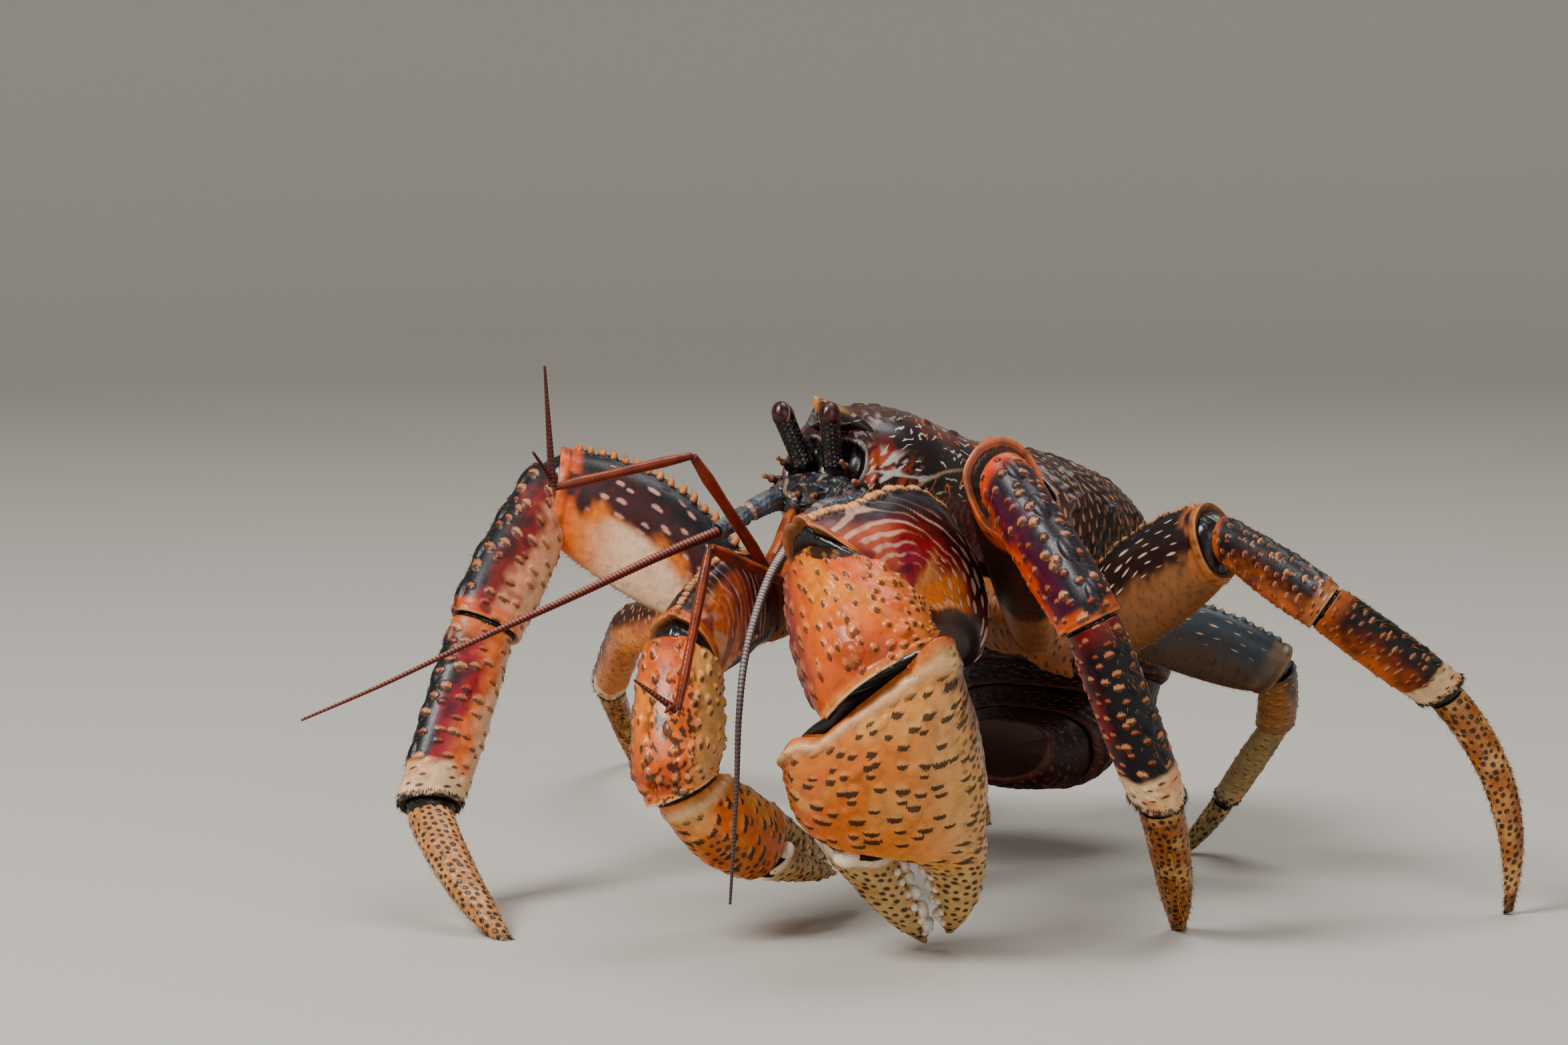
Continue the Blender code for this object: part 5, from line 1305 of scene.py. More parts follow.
def claw_surface(rows, claw, first, normal, pivot, reach, count, step=0.5):
    """A finger or palm along the claw, its base lying in the plane through pivot that faces normal."""
    start, axis, high, thick, scale = claw
    last = rows[-1][0]
    place = np.linspace(first, last, round((last - first) * scale[0] / step))
    held = start + axis * (place * scale[0])[:, None, None] + high * (pivot * scale[1])
    share = np.clip((reach - place) / (reach - first), 0, 1)[:, None]
    places = np.repeat(place[:, None], count, axis=1)
    for _ in range(8):
        offset, tall, deep = profile(rows, places)
        centres = start + axis * (place * scale[0])[:, None, None] + high * (offset * scale[1])[..., None]
        sizes = (tall * scale[1], deep * scale[2], deep * scale[2])
        form = Surface(place, centres[:, 0], high, -thick, sizes, (2.2, 2.2), count)
        form.points = form.points - form.centres + centres
        slide = ((form.points - held) @ normal) / (axis @ normal) * share
        form.points = form.points - axis * slide[..., None]
        places = 0.5 * places + 0.5 * ((form.points - start) @ axis / scale[0])
    shoulder = smooth((form.points - start) @ high / scale[1], 17, 29) * share**1.5
    hollow = smooth((start - form.points) @ high / scale[1], 15, 28) * share**1.5
    form.points = form.points - axis * ((shoulder * 9 - hollow * 6) * scale[1])[..., None]
    form.centres = form.points.mean(axis=1, keepdims=True)
    form.measure()
    return form


for name in CLAW_GIRTH:
    leg, girth, scale, seam = LEGS[name], CLAW_GIRTH[name], CLAW_SCALE[name], CLAW_SEAM[name]
    left = name == "claw_left"
    start, axis = leg["joints"][3], leg["aims"][3]
    high = square_to(axis, np.array(CLAW_FACING[name]))
    thick = np.cross(axis, high)
    claw = (start, axis, high, thick, scale)
    facing = unit(CLAW_SEAMS[name][1]) if left else unit(leg["aims"][2] + axis)
    rows = (*PALM[:6], *SEAM_SLOPE, *FIXED_FINGER[2:])
    counts = PINCER_COUNTS[name]
    hand = claw_surface(rows, claw, seam / scale[0], facing, 0, PALM_BASE, counts[0])
    slant = unit(axis * HINGE_SLANT[0] + high * HINGE_SLANT[1])
    root = PALM_END + 0.8 * seam / scale[0]
    finger = claw_surface(MOVING_FINGER, claw, root, slant, HINGE_OFFSET, FINGER_BASE, counts[1], 0.45)
    for form, k in ((hand, 6), (finger, 7)):
        form.s = (form.points - start) @ axis
        form.stir(2.5, 13, k)
    teeth = hand.mounds(((60, 84, 5, 2, 2.3, 2.2, 2.2),), girth * 1.2, 1.0, 0.5)
    teeth = np.maximum(teeth, hand.mounds(((66, 86, 5, 32, 1.6, 1.6, 1.2),), girth, 1.0, 0.5))
    bite = finger.mounds(((58, 88, 6, 180, 2.4, 2.2, 2.2),), girth * 1.2, 1.0, 0.5)
    bite = np.maximum(bite, finger.mounds(((62, 90, 6, 150, 1.6, 1.6, 1.2),), girth, 1.0, 0.5))
    knobs = ((14, 44, 4, 72, 2.6, 3.2, 0.7), (10, 40, 4, 104, 2.6, 3.2, 0.7))
    hand.mounds(knobs, girth, 1 if left else 0.5)
    pit = girth**0.5
    hand.spots((6.0 * scale[0], 7.2 * girth**0.7), (2.0 * pit, 2.4 * pit), 0.3, 1.0, 0.8, 8)
    finger.spots((4.6, 4.6), (1.3, 1.4), 0.3, 1.0, 0.8, 9)
    place = hand.place
    hand.paint("#D8761E")
    hand.paint("#E0A868", 0.8 * hand.facing(*-high, -0.1, 0.6))
    hand.paint("#E2A050", 0.7 * hand.patches(14, 0.4, 0.75))
    outer = hand.facing(*high, -0.2, 0.5) * hand.patches(9, 0.35, 0.65, 2)
    hand.paint("#D25A0C", 0.7 * outer * smooth(place, 60, 50))
    collar = smooth(place, 1 + 4 * (1 if left else 0.6), 1.5)
    hand.paint("#F06A10", collar)
    brow = np.exp(-(((place - 7.5) / 2.4) ** 2))
    hand.lift = hand.lift + (1.3 if left else 0.6) * brow - (0.7 if left else 0.3) * collar
    hand.paint("#F6CF98", 0.7 * brow)
    hand.paint("#4E3A58", 0.7 * hand.facing(*-high, 0.72, 0.98) * smooth(place, 44, 20))
    hand.paint("#CDA86A", 0.85 * smooth(place, 54, 64))
    hand.paint("#F6EEE0", smooth(teeth, 0.3, 0.9))
    hand.paint("#8A4A34", 0.5 * smooth(place, 85, 90))
    no_tooth = 1 - smooth(teeth, 0.1, 0.4)
    hand.mark(0, no_tooth * smooth(place, 9, 13) * smooth(place, 66, 56))
    sides = np.maximum(hand.facing(*-high, 0.5, 0.85), hand.facing(*high, 0.7, 0.95) * smooth(place, 8, 14))
    hand.mark(2, no_tooth * np.maximum(smooth(place, 52, 60), 0.9 * sides))
    hand.paint("#5A2E1C", 0.4 * hand.facing(*high, 0.75, 1.0) * no_tooth)
    if not left:
        scab = hand.facing(-0.2, -0.6, 0.8, 0.35, 0.75) * smooth(place, 8, 14) * smooth(place, 60, 46)
        hand.paint("#1A0F0D", 0.85 * scab * hand.patches(1.9, 0.5, 0.62, 2))
    finger.paint("#C9A266")
    finger.paint("#B87838", 0.6 * finger.patches(6, 0.45, 0.8, 1))
    finger.paint("#F6EEE0", smooth(bite, 0.3, 0.9))
    finger.paint("#F3E6D0", 0.9 * smooth(finger.place, 57, 55))
    finger.paint("#8A4A34", 0.5 * smooth(finger.place, 87, 93))
    no_tooth = (1 - smooth(bite, 0.1, 0.4)) * smooth(finger.place, 56, 59)
    finger.mark(2, no_tooth)
    for form in (hand, finger):
        form.curl((1, 0), 1.0)
    piece(f"{name}_palm", [hand], claw_finish, "claw_shell", f"{name}_palm")
    piece(f"{name}_finger", [finger], claw_finish, "claw_shell", f"{name}_finger")
    half = (10.2 * scale[1], 6 * scale[0], 11.2 * scale[2])
    pad = blob(finger.points[1].mean(axis=0) - axis * 1.5, axis, half, 80)
    pad.paint("#1A1516")
    hinge = axis * (PALM_END - 0.5) * scale[0] + (high * 12.5 * scale[1] - thick * 12.6 * scale[2])
    knob = blob(start + hinge, axis, (4.2 * girth, 3.0 * girth, 4.2 * girth), 48)
    knob.lift = knob.lift + 0.5 * (wander(knob.s, knob.r, 3) - 0.5)
    knob.paint("#F4E6CC")
    piece(f"{name}_hinge_knob", [knob], tooth_finish, "claw_shell", f"{name}_palm")
    arm, wrist = CLAWS[name]["arm"], CLAWS[name]["wrist"]
    bands = [soft_skin(arm, wrist, 1.0), soft_skin(wrist, hand, 0.8), pad, hip_skin(leg, ISCHIUM_SIZE[name])]
    piece(f"{name}_soft_skin", bands, skin_finish, "claw_shell", f"{name}_merus")
    CLAWS[name].update(hand=hand, finger=finger)

# The walking legs, three on each side, are flattened tubes of chitin, each hung in the last by soft
# skin. First the short root and the merus, which stands on edge, dark above with a scalloped crest,
# and ends at the knee in a rolled lip.
MERUS = (
    (-0.12, 5.5, 7, 7),
    (0, 7.5, 11, 10),
    (0.2, 9, 17, 14),
    (0.5, 10.5, 21.5, 17),
    (0.8, 11.5, 18.5, 17),
    (1, 10.5, 12.5, 13),
    (1.12, 7, 7.5, 7.5),
)
# For each pair of legs: girths and points round of merus, carpus, propodus and toe.
LEG_GIRTH = {"leg2": (1, 1, 1, 1), "leg3": (0.84, 0.68, 0.75, 0.78), "leg4": (0.62, 0.55, 0.52, 0.55)}
ROUND_COUNTS = {"leg2": (220, 200, 200, 130), "leg3": (180, 160, 170, 110), "leg4": (120, 110, 110, 80)}
SCUTE_SHARE = {"leg2": 1, "leg3": 0.8, "leg4": 0.6}
KNEE_TONES = {"leg2": "#EA5A06", "leg3": "#B8682C", "leg4": "#7A5C40"}
# Colours above, on the flank and at the border.
MERUS_TONES = {
    "leg2_left": ("#1B1014", "#6A1808", "#5E2A12"),
    "leg2_right": ("#100C14", "#3C080E", "#F07A1A"),
    "leg3_left": ("#120A0A", "#26100C", "#8E5A34"),
    "leg3_right": ("#140C0C", "#7A2A0C", "#D8701C"),
    "leg4_left": ("#28323A", "#343E46", "#54402E"),
    "leg4_right": ("#28323A", "#343E46", "#54402E"),
}


def three_tones(form, tones, border, middle):
    """Paints above, flank and border: border and middle are distances from the crest in millimetres."""
    broad, fine = wander(form.s, form.r, 8, 2) - 0.5, wander(form.s, form.r, 2.2, 1) - 0.5
    away = np.abs(form.r) + 8 * broad + 4 * fine
    form.paint(tones[1])
    form.paint(tones[0], smooth(away, middle + 3, middle - 3))
    form.paint(tones[2], smooth(away, border - 4, border + 4))
    form.paint(tones[0], 0.7 * form.patches(3, 0.6, 0.75, 2) * smooth(away, border, middle))


LIMBS = {}
for name, tones in MERUS_TONES.items():
    leg, kind = LEGS[name], kind_of(name)
    girth, fourth = LEG_GIRTH[kind][0], kind == "leg4"
    root = root_of(leg, ISCHIUM_SIZE[kind], SEAM, 90)
    root.stir(2, 10)
    root.scales((4.0, 4.5), 0.35)
    root.paint("#8A4E24")
    root.paint("#2C1610", 0.7 * root.patches(6, 0.45, 0.75))
    root.mark(2, 0.8)
    thigh = article(leg, 1, MERUS, (0.2, SEAM), girth, count=ROUND_COUNTS[kind][0], step=0.6)
    side = np.abs(thigh.r) / girth
    thigh.mounds(((0.14, 0.88, 7, 90, 4.2, 3.0, 0.8),), girth, SCUTE_SHARE[kind])
    beads = thigh.mounds(((0.05, 0.9, 17, 90, 1.7, 3.2, 1.9 if kind == "leg2" else 1.3),), girth)
    thigh.stir(2.5, 11, 3)
    three_tones(thigh, tones, 25 * girth, 11 * girth)
    if name == "leg2_right":
        below = smooth(side + 6 * wander(thigh.s, thigh.r, 9), 27, 33)
        thigh.paint("#F6CFA8", 0.9 * below * smooth(thigh.place, 0.9, 0.6))
    if name == "leg2_left":
        thigh.paint("#A0602E", 0.8 * smooth(side, 22, 28) * smooth(thigh.place, 0.36, 0.32))
        shaded = (1 - thigh.rim(7)) * smooth(side, 12, 20) * smooth(thigh.place, 0.34, 0.38)
        thigh.paint("#1A0C08", 0.92 * shaded)
    thigh.paint("#8C7A68" if fourth else "#D9803A", smooth(beads, 0.5, 0.9))
    lip = thigh.rim(4.5 * girth)
    thigh.lift = thigh.lift + 0.9 * girth * lip * (0.6 + 0.8 * wander(thigh.s, thigh.r, 6))
    thigh.paint(KNEE_TONES[kind], np.maximum(0.9 * lip, 0.7 * thigh.rim(9) * thigh.patches(4, 0.3, 0.6)))
    thigh.paint("#4A1A0C", 0.6 * lip * thigh.patches(2.5, 0.55, 0.75, 2))
    # Painted highlight: a faint pale line along the edge of the knee's lip.
    thigh.paint("#F2BE84", 0.15 * thigh.rim(0.9))
    inner = smooth(thigh.place, 0.9, 0.8)
    if name == "leg2_right":
        thigh.spots((8.5, 5.5), (1.9, 0.85), 0.2, 1.0, 0.8, 2)
        pink = smooth(thigh.ovals[..., 0], 1.0, 0.65) * smooth(side, 5, 8) * smooth(side, 27, 22)
        thigh.paint("#E6A08C", 0.9 * pink * inner)
    else:
        thigh.mark(0, (0.42 if fourth else 0.66) * smooth(side, 4, 7) * smooth(side, 27, 20) * inner)
    # Painted shade: the faces that look down are painted brown.
    thigh.paint("#5A2E18", 0.8 * thigh.facing(0, 0, -1, 0.6, 0.95))
    thigh.mark(2, (0.1 if name == "leg2_right" else 0.3) * smooth(side, 26, 30))
    thigh.curl((0, 1), 0.9)
    piece(f"{name}_merus", [root, thigh], limb_finish, "leg_shell", f"{name}_merus")
    LIMBS[name] = {"thigh": thigh}

# The carpus hangs below the knee in a gap of black soft skin. It is dark, with an orange start and
# border, and studded with raised tan ovals.
CARPUS = (
    (-0.16, 5, 6, 6),
    (0, 8, 9.5, 9),
    (0.25, 9, 11.5, 11),
    (0.6, 9.5, 13.5, 12.5),
    (0.9, 9.3, 13.5, 12),
    (1, 8.8, 12, 11),
    (1.1, 6.5, 7.5, 7),
)
# The knee gapes, and the joint between carpus and propodus closes tightly.
KNEE_SEAM, TIGHT_SEAM = 2.4, 0.6
CARPUS_TONES = {
    "leg2_left": ("#1A1420", "#460C2C", "#F04C04"),
    "leg2_right": ("#0E1118", "#7A1A14", "#F0A074"),
    "leg3_left": ("#101014", "#30120C", "#C05A18"),
    "leg3_right": ("#120C0C", "#A03C08", "#E08024"),
    "leg4_left": ("#2C343A", "#3C3A34", "#94622E"),
    "leg4_right": ("#2C343A", "#3C3A34", "#94622E"),
}
ORANGE_START = {"leg2_left": 0.16, "leg3_left": 0.11}  # share of the length
WIDE_OVALS = {"leg2_right": 1.25}  # how many times wider the ovals are there
for name, tones in CARPUS_TONES.items():
    leg, kind = LEGS[name], kind_of(name)
    girth, fourth = LEG_GIRTH[kind][1], kind == "leg4"
    ends = (SEAM if fourth else KNEE_SEAM, TIGHT_SEAM)
    shin = article(leg, 2, CARPUS, ends, girth, count=ROUND_COUNTS[kind][1], step=0.5)
    side = np.abs(shin.r) / girth
    shin.mounds(((0.16, 0.88, 4, 90, 4.4, 2.6, 1.0),), girth, 0 if fourth else SCUTE_SHARE[kind])
    shin.stir(2.5, 12, 1)
    size = max(girth, 0.7) * WIDE_OVALS.get(name, 1)
    shin.spots((5.0 * size, 5.2 * size), (1.3 * size, 1.6 * size), 0.45 * girth, 1.0, 0.75, 3)
    border, middle = (22, 13) if name == "leg3_left" else (17, 8)
    three_tones(shin, tones, border * girth, middle * girth)
    if name in ORANGE_START:
        start = shin.place + 0.1 * (wander(shin.s, shin.r, 6, 2) - 0.5)
        shin.paint(tones[2], 0.9 * smooth(start, ORANGE_START[name], 0.05))
    shin.lift = shin.lift + 0.35 * girth * shin.rim(3 * girth)
    shin.paint(KNEE_TONES[kind], 0.7 * shin.rim(6) * shin.patches(4, 0.2, 0.5))
    # Painted highlight: a faint pale line along the edge of the end.
    shin.paint("#F2BE84", 0.3 * shin.rim(0.8))
    shin.mark(1, 0.95 - 0.35 * smooth(side, 15, 21))
    if name == "leg2_right":
        shin.paint("#F4C8A0", 0.6 * smooth(np.abs(shin.r) + 5 * wander(shin.s, shin.r, 6), 23, 28))
    if name == "leg3_right":
        shin.paint("#140C0C", 0.92 * shin.facing(-0.6, -0.4, 0.7, 0.55, 0.8))
    shin.curl((1, 1), 0.9)
    piece(f"{name}_carpus", [shin], limb_finish, "leg_shell", f"{name}_carpus")
    LIMBS[name]["shin"] = shin

# The propodus carries the same ovals, and ends in a cream cuff with a fringe of short black hairs.
# It is tightly jointed to the carpus.
PROPODUS = (
    (-0.12, 5, 6, 6),
    (0, 7.5, 11.3, 9.5),
    (0.5, 8.3, 12.3, 10.7),
    (0.85, 8, 11.7, 10),
    (1, 7.2, 10.5, 8.8),
    (1.08, 5.5, 7, 6),
)
PROPODUS_TONES = {
    "leg2_left": ("#0E1116", "#17121C", "#7A0C08"),
    "leg2_right": ("#0E1118", "#9A0C22", "#F57A34"),
    "leg3_left": ("#101014", "#5A1C0A", "#C8601C"),
    "leg3_right": ("#140C0C", "#7A3410", "#C06A24"),
    "leg4_left": ("#544A38", "#6E5E42", "#A08A58"),
    "leg4_right": ("#544A38", "#6E5E42", "#A08A58"),
}
for name, tones in PROPODUS_TONES.items():
    leg, kind = LEGS[name], kind_of(name)
    girth, fourth = LEG_GIRTH[kind][2], kind == "leg4"
    foreleg = article(leg, 3, PROPODUS, (TIGHT_SEAM, SEAM), girth, count=ROUND_COUNTS[kind][2], step=0.5)
    side = np.abs(foreleg.r) / girth
    foreleg.mounds(((0.12, 0.93, 5, 90, 3.8, 2.2, 0.8),), girth, 0 if fourth else SCUTE_SHARE[kind])
    foreleg.stir(2.5, 12, 2)
    size, wide = max(girth, 0.7), WIDE_OVALS.get(name, 1)
    half = (1.2 * size * wide, 1.7 * size * wide)
    foreleg.spots((5.0 * size * wide, 5.6 * size), half, 0.4 * girth, 1.0, 0.75, 4)
    border, middle = (20, 13) if name == "leg3_left" else (16, 8)
    three_tones(foreleg, tones, border * girth, middle * girth)
    foreleg.paint(tones[2], 0.8 * smooth(foreleg.place, 0.16, 0.03))
    if name == "leg2_right":
        foreleg.paint("#F4C8A0", 0.8 * smooth(side + 4 * wander(foreleg.s, foreleg.r, 6), 21, 25))
    cuff = smooth(foreleg.place + 0.08 * (wander(foreleg.s, foreleg.r, 5) - 0.5), 0.78, 0.83)
    foreleg.paint("#B8A274" if fourth else "#F2C896", 0.95 * cuff)
    foreleg.paint("#E88A4A", 0.6 * cuff * foreleg.patches(7, 0.5, 0.8, 2))
    fringe = foreleg.place + 0.03 * (wander(foreleg.s, foreleg.r, 1.5, 1) - 0.5)
    foreleg.paint("#120C0B", 0.95 * smooth(fringe, 0.965, 0.975))
    foreleg.mark(1, (0.95 - 0.3 * smooth(side, 15, 21)) * (1 - cuff))
    foreleg.mark(2, 0.9 * cuff * foreleg.patches(6, 0.3, 0.5, 1))
    if name == "leg3_right":
        foreleg.paint("#140C0C", 0.92 * foreleg.facing(-0.6, -0.4, 0.7, 0.55, 0.8))
    foreleg.curl((1, 1), 0.9)
    piece(f"{name}_propodus", [foreleg], limb_finish, "leg_shell", f"{name}_propodus")
    LIMBS[name]["foreleg"] = foreleg

# The toes are curved horny points, orange-brown and densely pitted. With them comes the soft
# skin of the whole leg, since its bands reach from each article to the next.
DACTYL = (
    (-0.1, 5, 5, 5),
    (0, 6.4, 6.8, 6.6),
    (0.35, 6.0, 6.8, 6.2),
    (0.7, 4.6, 5.2, 4.8),
    (0.92, 2.6, 2.8, 2.6),
    (1.04, 1.6, 1.7, 1.6),
)
# How far the middle of each toe bows up, in millimetres.
DACTYL_BOW = {
    "leg2_left": 2,
    "leg2_right": 3,
    "leg3_left": 9,
    "leg3_right": 4,
    "leg4_left": 1.5,
    "leg4_right": 1.5,
}
TOE_TONES = {
    "leg2_left": "#9A5218",
    "leg2_right": "#C8844A",
    "leg3_left": "#A05818",
    "leg3_right": "#A05818",
    "leg4_left": "#8A7448",
    "leg4_right": "#8A7448",
}
TOE_TIP = 0.05  # how far above the floor a tip ends
# The chitin of the toes is satin, with round dark pits about 1.6 mm wide.
toe_finish, tree, coat, marks, skin = new_finish("pitted chitin of the toes")
dots = dabs(tree, skin, (2.7, 2.6), (0.8, 0.8), 1.0, 0.35)[0]
dots = add(tree, "Math MULTIPLY", dots, marks[0])
dark = add(tree, "Math MULTIPLY", dots, 0.92)
colour = add(tree, "Mix", {0: dark, 6: coat, 7: SLIT_BLACK}, out=2, **OVER)
close_up(tree, colour, add(tree, "Math SUBTRACT", 0.6, dots), 0.3, (0.28, 0.45), 0.25)

for name, tone in TOE_TONES.items():
    leg, kind = LEGS[name], kind_of(name)
    girth, count = LEG_GIRTH[kind][3], ROUND_COUNTS[kind][3]
    toe = article(leg, 4, DACTYL, (SEAM, 0.2), girth, bow=DACTYL_BOW[name], count=count, step=0.45)
    toe.stir(1.0, 8)
    toe.spots((2.8, 2.4), (0.9, 0.9), 0.18, 1.0, 0.8, 6)
    toe.paint(tone)
    toe.paint("#E8B468", 0.5 * toe.patches(6, 0.45, 0.8))
    toe.paint("#2A140E", 0.8 * smooth(toe.place, 0.88, 0.99))
    toe.mark(0, 1.0)
    toe.curl((1, 0), 0.9)
    toe.points[..., 2] = np.maximum(toe.points[..., 2], TOE_TIP)
    piece(f"{name}_dactyl", [toe], toe_finish, "toe_shell", f"{name}_dactyl")
    thigh, shin, foreleg = LIMBS[name].values()
    bands = [soft_skin(thigh, shin), soft_skin(shin, foreleg), soft_skin(foreleg, toe)]
    bands.append(hip_skin(leg, ISCHIUM_SIZE[kind]))
    piece(f"{name}_soft_skin", bands, skin_finish, "leg_shell", f"{name}_merus")
    LIMBS[name]["toe"] = toe

# Bristles: stiff hairs, black in the pits and at the cuffs, amber along the crests, and both on
# the toes. Each is a three-sided horn point set into the shell.

# Horn so thin shows only its colour and no gloss.
bristle_finish, tree, coat, marks, skin = new_finish("horny bristles")
tone = add(tree, "TexNoise", {"Vector": skin, "Scale": 3.0})
close_up(tree, coat, tone, 0.02, (0.35, 0.5), 0.1, mottle=0.0)


def bristles(name, node, plans):
    """Hairs on surfaces: form, how many, where they stand, length, root radius, lean and colour."""
    points, colours = [], []
    for form, many, where, length, radius, lean, code in plans:
        weight = (where * np.ones_like(form.lift)).ravel()
        chosen = chance.choice(weight.size, many, p=weight / weight.sum())
        foot = form.finished().reshape(-1, 3)[chosen]
        out = form.out.reshape(-1, 3)[chosen]
        run = np.gradient(form.points, axis=0).reshape(-1, 3)[chosen]
        run /= np.maximum(np.linalg.norm(run, axis=1, keepdims=True), 1e-9)
        aim = out + run * lean + 0.5 * (chance.random((many, 3)) - 0.5)
        aim /= np.linalg.norm(aim, axis=1, keepdims=True)
        side = np.cross(aim, run + 0.01)
        side /= np.maximum(np.linalg.norm(side, axis=1, keepdims=True), 1e-9)
        third = np.cross(aim, side)
        long = length * (0.55 + 0.45 * chance.random((many, 1)))
        base = foot - out * 0.3
        corners = [base + radius * (side * math.cos(a) + third * math.sin(a)) for a in (0, 2.1, 4.2)]
        points.append(np.stack([*corners, base + aim * (long + 0.3)], axis=1).reshape(-1, 3))
        shade = np.array(linear(code)[:3]) * (0.6 + 0.8 * chance.random((many, 1)))
        colours.append(np.repeat(shade, 4, axis=0))
    points, colours = (np.concatenate(points) + CENTRE_SHIFT) * MM, np.concatenate(colours)
    points[:, 2] = np.maximum(points[:, 2], 0.0001)
    ids = 4 * np.arange(len(points) // 4)[:, None, None]
    faces = (ids + np.array(((0, 2, 1), (0, 1, 3), (1, 2, 3), (2, 0, 3)))).reshape(-1, 3)
    mesh = bpy.data.meshes.new(name)
    mesh.from_pydata(points.tolist(), [], faces.tolist())
    for key, values in (("coat", colours), ("skin", points / MM)):
        field = mesh.attributes.new(key, "FLOAT_VECTOR", "POINT")
        field.data.foreach_set("vector", values.astype(np.float32).ravel())
    mesh.materials.append(bristle_finish)
    made = bpy.data.objects.new(name, mesh)
    bpy.context.scene.collection.objects.link(made)
    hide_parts(node)
    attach(made, "root")


def edges(form, width=14):
    """Where a surface's crest and keel are."""
    crest = np.abs(form.turn - 90)
    return smooth(crest, width, width / 2) + smooth(np.abs(crest - 180), width, width / 2)


def pits(form):
    return smooth(form.ovals[..., 0], 0.6, 0.3)


for name, parts in LIMBS.items():
    thigh, shin, foreleg, toe = (parts[part] for part in ("thigh", "shin", "foreleg", "toe"))
    small = 0.7 if name.startswith("leg4") else 1
    fringe = np.zeros_like(foreleg.lift)
    fringe[-8:-3] = 1
    bristles(f"{name}_bristles", f"{name}_merus", [
        (thigh, 260, edges(thigh), 2.6 * small, 0.11, 0.8, "#C88A3A"),
        (shin, 200, edges(shin, 30), 2.2 * small, 0.1, 0.8, "#A87834"),
        (shin, 500, pits(shin), 0.8, 0.09, 1.5, "#1A100C"),
        (foreleg, 200, edges(foreleg, 30), 2.2 * small, 0.1, 0.8, "#A87834"),
        (foreleg, 700, pits(foreleg), 0.9, 0.09, 1.5, "#1A100C"),
        (foreleg, 320, fringe, 2.6 * small, 0.16, 1.5, "#15100E"),
        (toe, 460, 0.1 + edges(toe, 50), 2.6 * small, 0.12, 1.0, "#C09040"),
        (toe, 400, 0.1 + edges(toe, 70), 1.6 * small, 0.14, 1.2, "#1A110C"),
    ])
for name, parts in CLAWS.items():
    small = CLAW_GIRTH[name]
    bristles(f"{name}_bristles", f"{name}_merus", [
        (parts["arm"], 260, edges(parts["arm"], 8), 1.8, 0.1, 0.8, "#D09A48"),
        (parts["wrist"], 160, edges(parts["wrist"], 30), 1.8, 0.1, 0.8, "#D09A48"),
        (parts["wrist"], 500, pits(parts["wrist"]), 0.8, 0.1, 1.5, "#1A100C"),
        (parts["hand"], 1100, pits(parts["hand"]), 0.9, 0.12, 1.5, "#15100E"),
        (parts["finger"], 400, pits(parts["finger"]), 0.9, 0.11, 1.5, "#15100E"),
    ])

# The studio: a round pale paper floor whose far rim rises all round as a low backdrop, and soft
# light from a large lamp above on the left, a weaker one on the right and a dim even sky.
FLOOR_RIM = ((2.4, 0.0), (2.7, 0.02), (3.0, 0.12), (3.2, 0.35), (3.3, 0.7), (3.3, 1.3))
FLOOR_SIDES = 128
floor = bpy.data.meshes.new("floor")
spokes = [2 * math.pi * k / FLOOR_SIDES for k in range(FLOOR_SIDES)]
corners = [(far * math.cos(turn), far * math.sin(turn), high) for far, high in FLOOR_RIM for turn in spokes]
faces = [tuple(range(FLOOR_SIDES))]
for ring in range(len(FLOOR_RIM) - 1):
    for k in range(FLOOR_SIDES):
        near, beside = ring * FLOOR_SIDES + k, ring * FLOOR_SIDES + (k + 1) % FLOOR_SIDES
        faces.append((near, near + FLOOR_SIDES, beside + FLOOR_SIDES, beside))
floor.from_pydata(corners, [], faces)
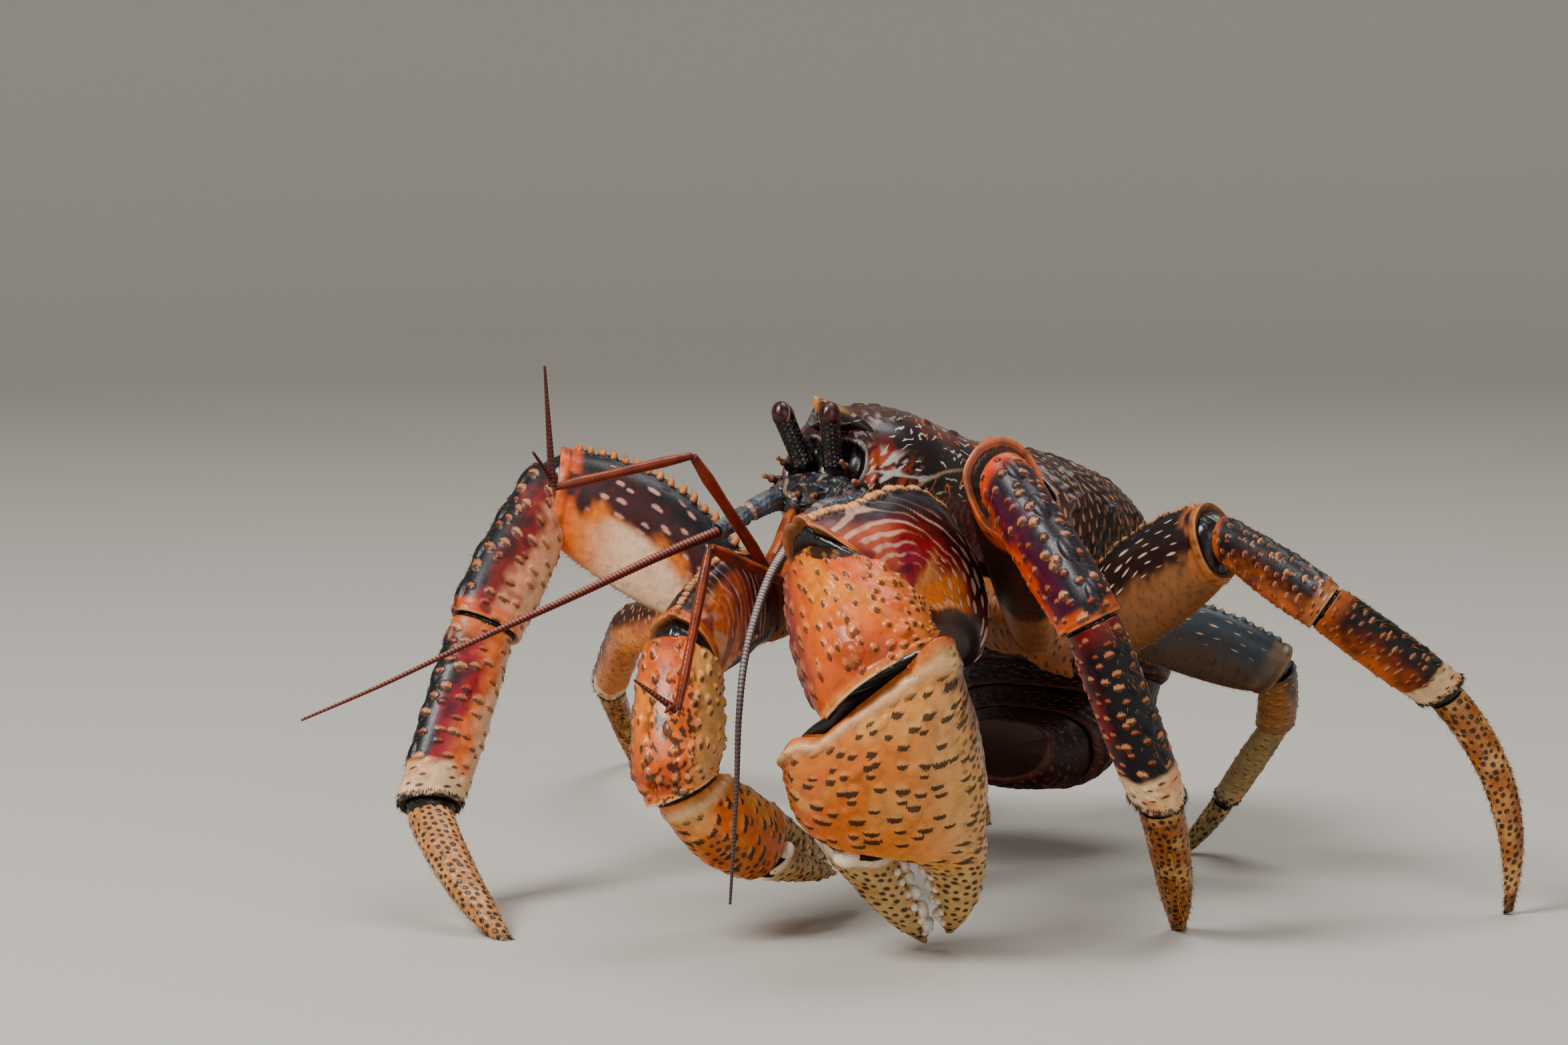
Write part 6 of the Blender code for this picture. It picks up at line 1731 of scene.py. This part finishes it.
floor.shade_smooth()
# Heavy matt paper is pale, without gloss and very faintly mottled.
paper, tree, coat, marks, skin = new_finish("matt pale studio paper")
grain = add(tree, "TexNoise", {"Vector": add(tree, "TexCoord", out=3), "Scale": 300.0, "Detail": 3.0})
colour = add(tree, "Mix", {0: grain, 6: "#C9C5BC", 7: "#C3BFB6"}, out=2, **OVER)
close_up(tree, colour, grain, 0.05, (0.75, 0.85), 0.0, mottle=0.0)
ground = bpy.data.objects.new("studio_floor", floor)
floor.materials.append(paper)
bpy.context.scene.collection.objects.link(ground)

for name, place, aim, size, power in (
    ("key_lamp", (-0.35, -1.45, 1.6), (0.03, -0.05, 0.08), 0.7, 46),
    ("fill_lamp", (1.7, -1.1, 0.9), (0.03, -0.05, 0.08), 1.2, 8),
    ("top_lamp", (0.2, 0.5, 1.9), (0.03, -0.02, 0.08), 1.0, 16),
):
    lamp = bpy.data.lights.new(name, "AREA")
    lamp.size, lamp.energy = size, power
    made = bpy.data.objects.new(name, lamp)
    made.location = place
    made.rotation_euler = (Vector(place) - Vector(aim)).to_track_quat("Z", "Y").to_euler()
    bpy.context.scene.collection.objects.link(made)
sky = bpy.data.worlds.new("even studio sky")
sky.use_nodes = True
sky.node_tree.nodes["Background"].inputs["Color"].default_value = linear("#E8E2DA")
sky.node_tree.nodes["Background"].inputs["Strength"].default_value = 0.28
bpy.context.scene.world = sky

# The camera stands where the photographer's did: in front, 33 degrees towards the crab's left side
# and a little above it, with a long lens.
target, swing, climb, distance = Vector((0.0340, -0.0795, 0.131)), math.radians(33), math.radians(6), 1.333
back = Vector((math.sin(swing) * math.cos(climb), -math.cos(swing) * math.cos(climb), math.sin(climb)))
lens = bpy.data.cameras.new("camera")
lens.lens, lens.sensor_width, lens.clip_start = 100, 36, 0.01
camera = bpy.data.objects.new("camera", lens)
camera.location = target + back * distance
camera.rotation_euler = (-back).to_track_quat("-Z", "Y").to_euler()
bpy.context.scene.collection.objects.link(camera)
bpy.context.scene.camera = camera
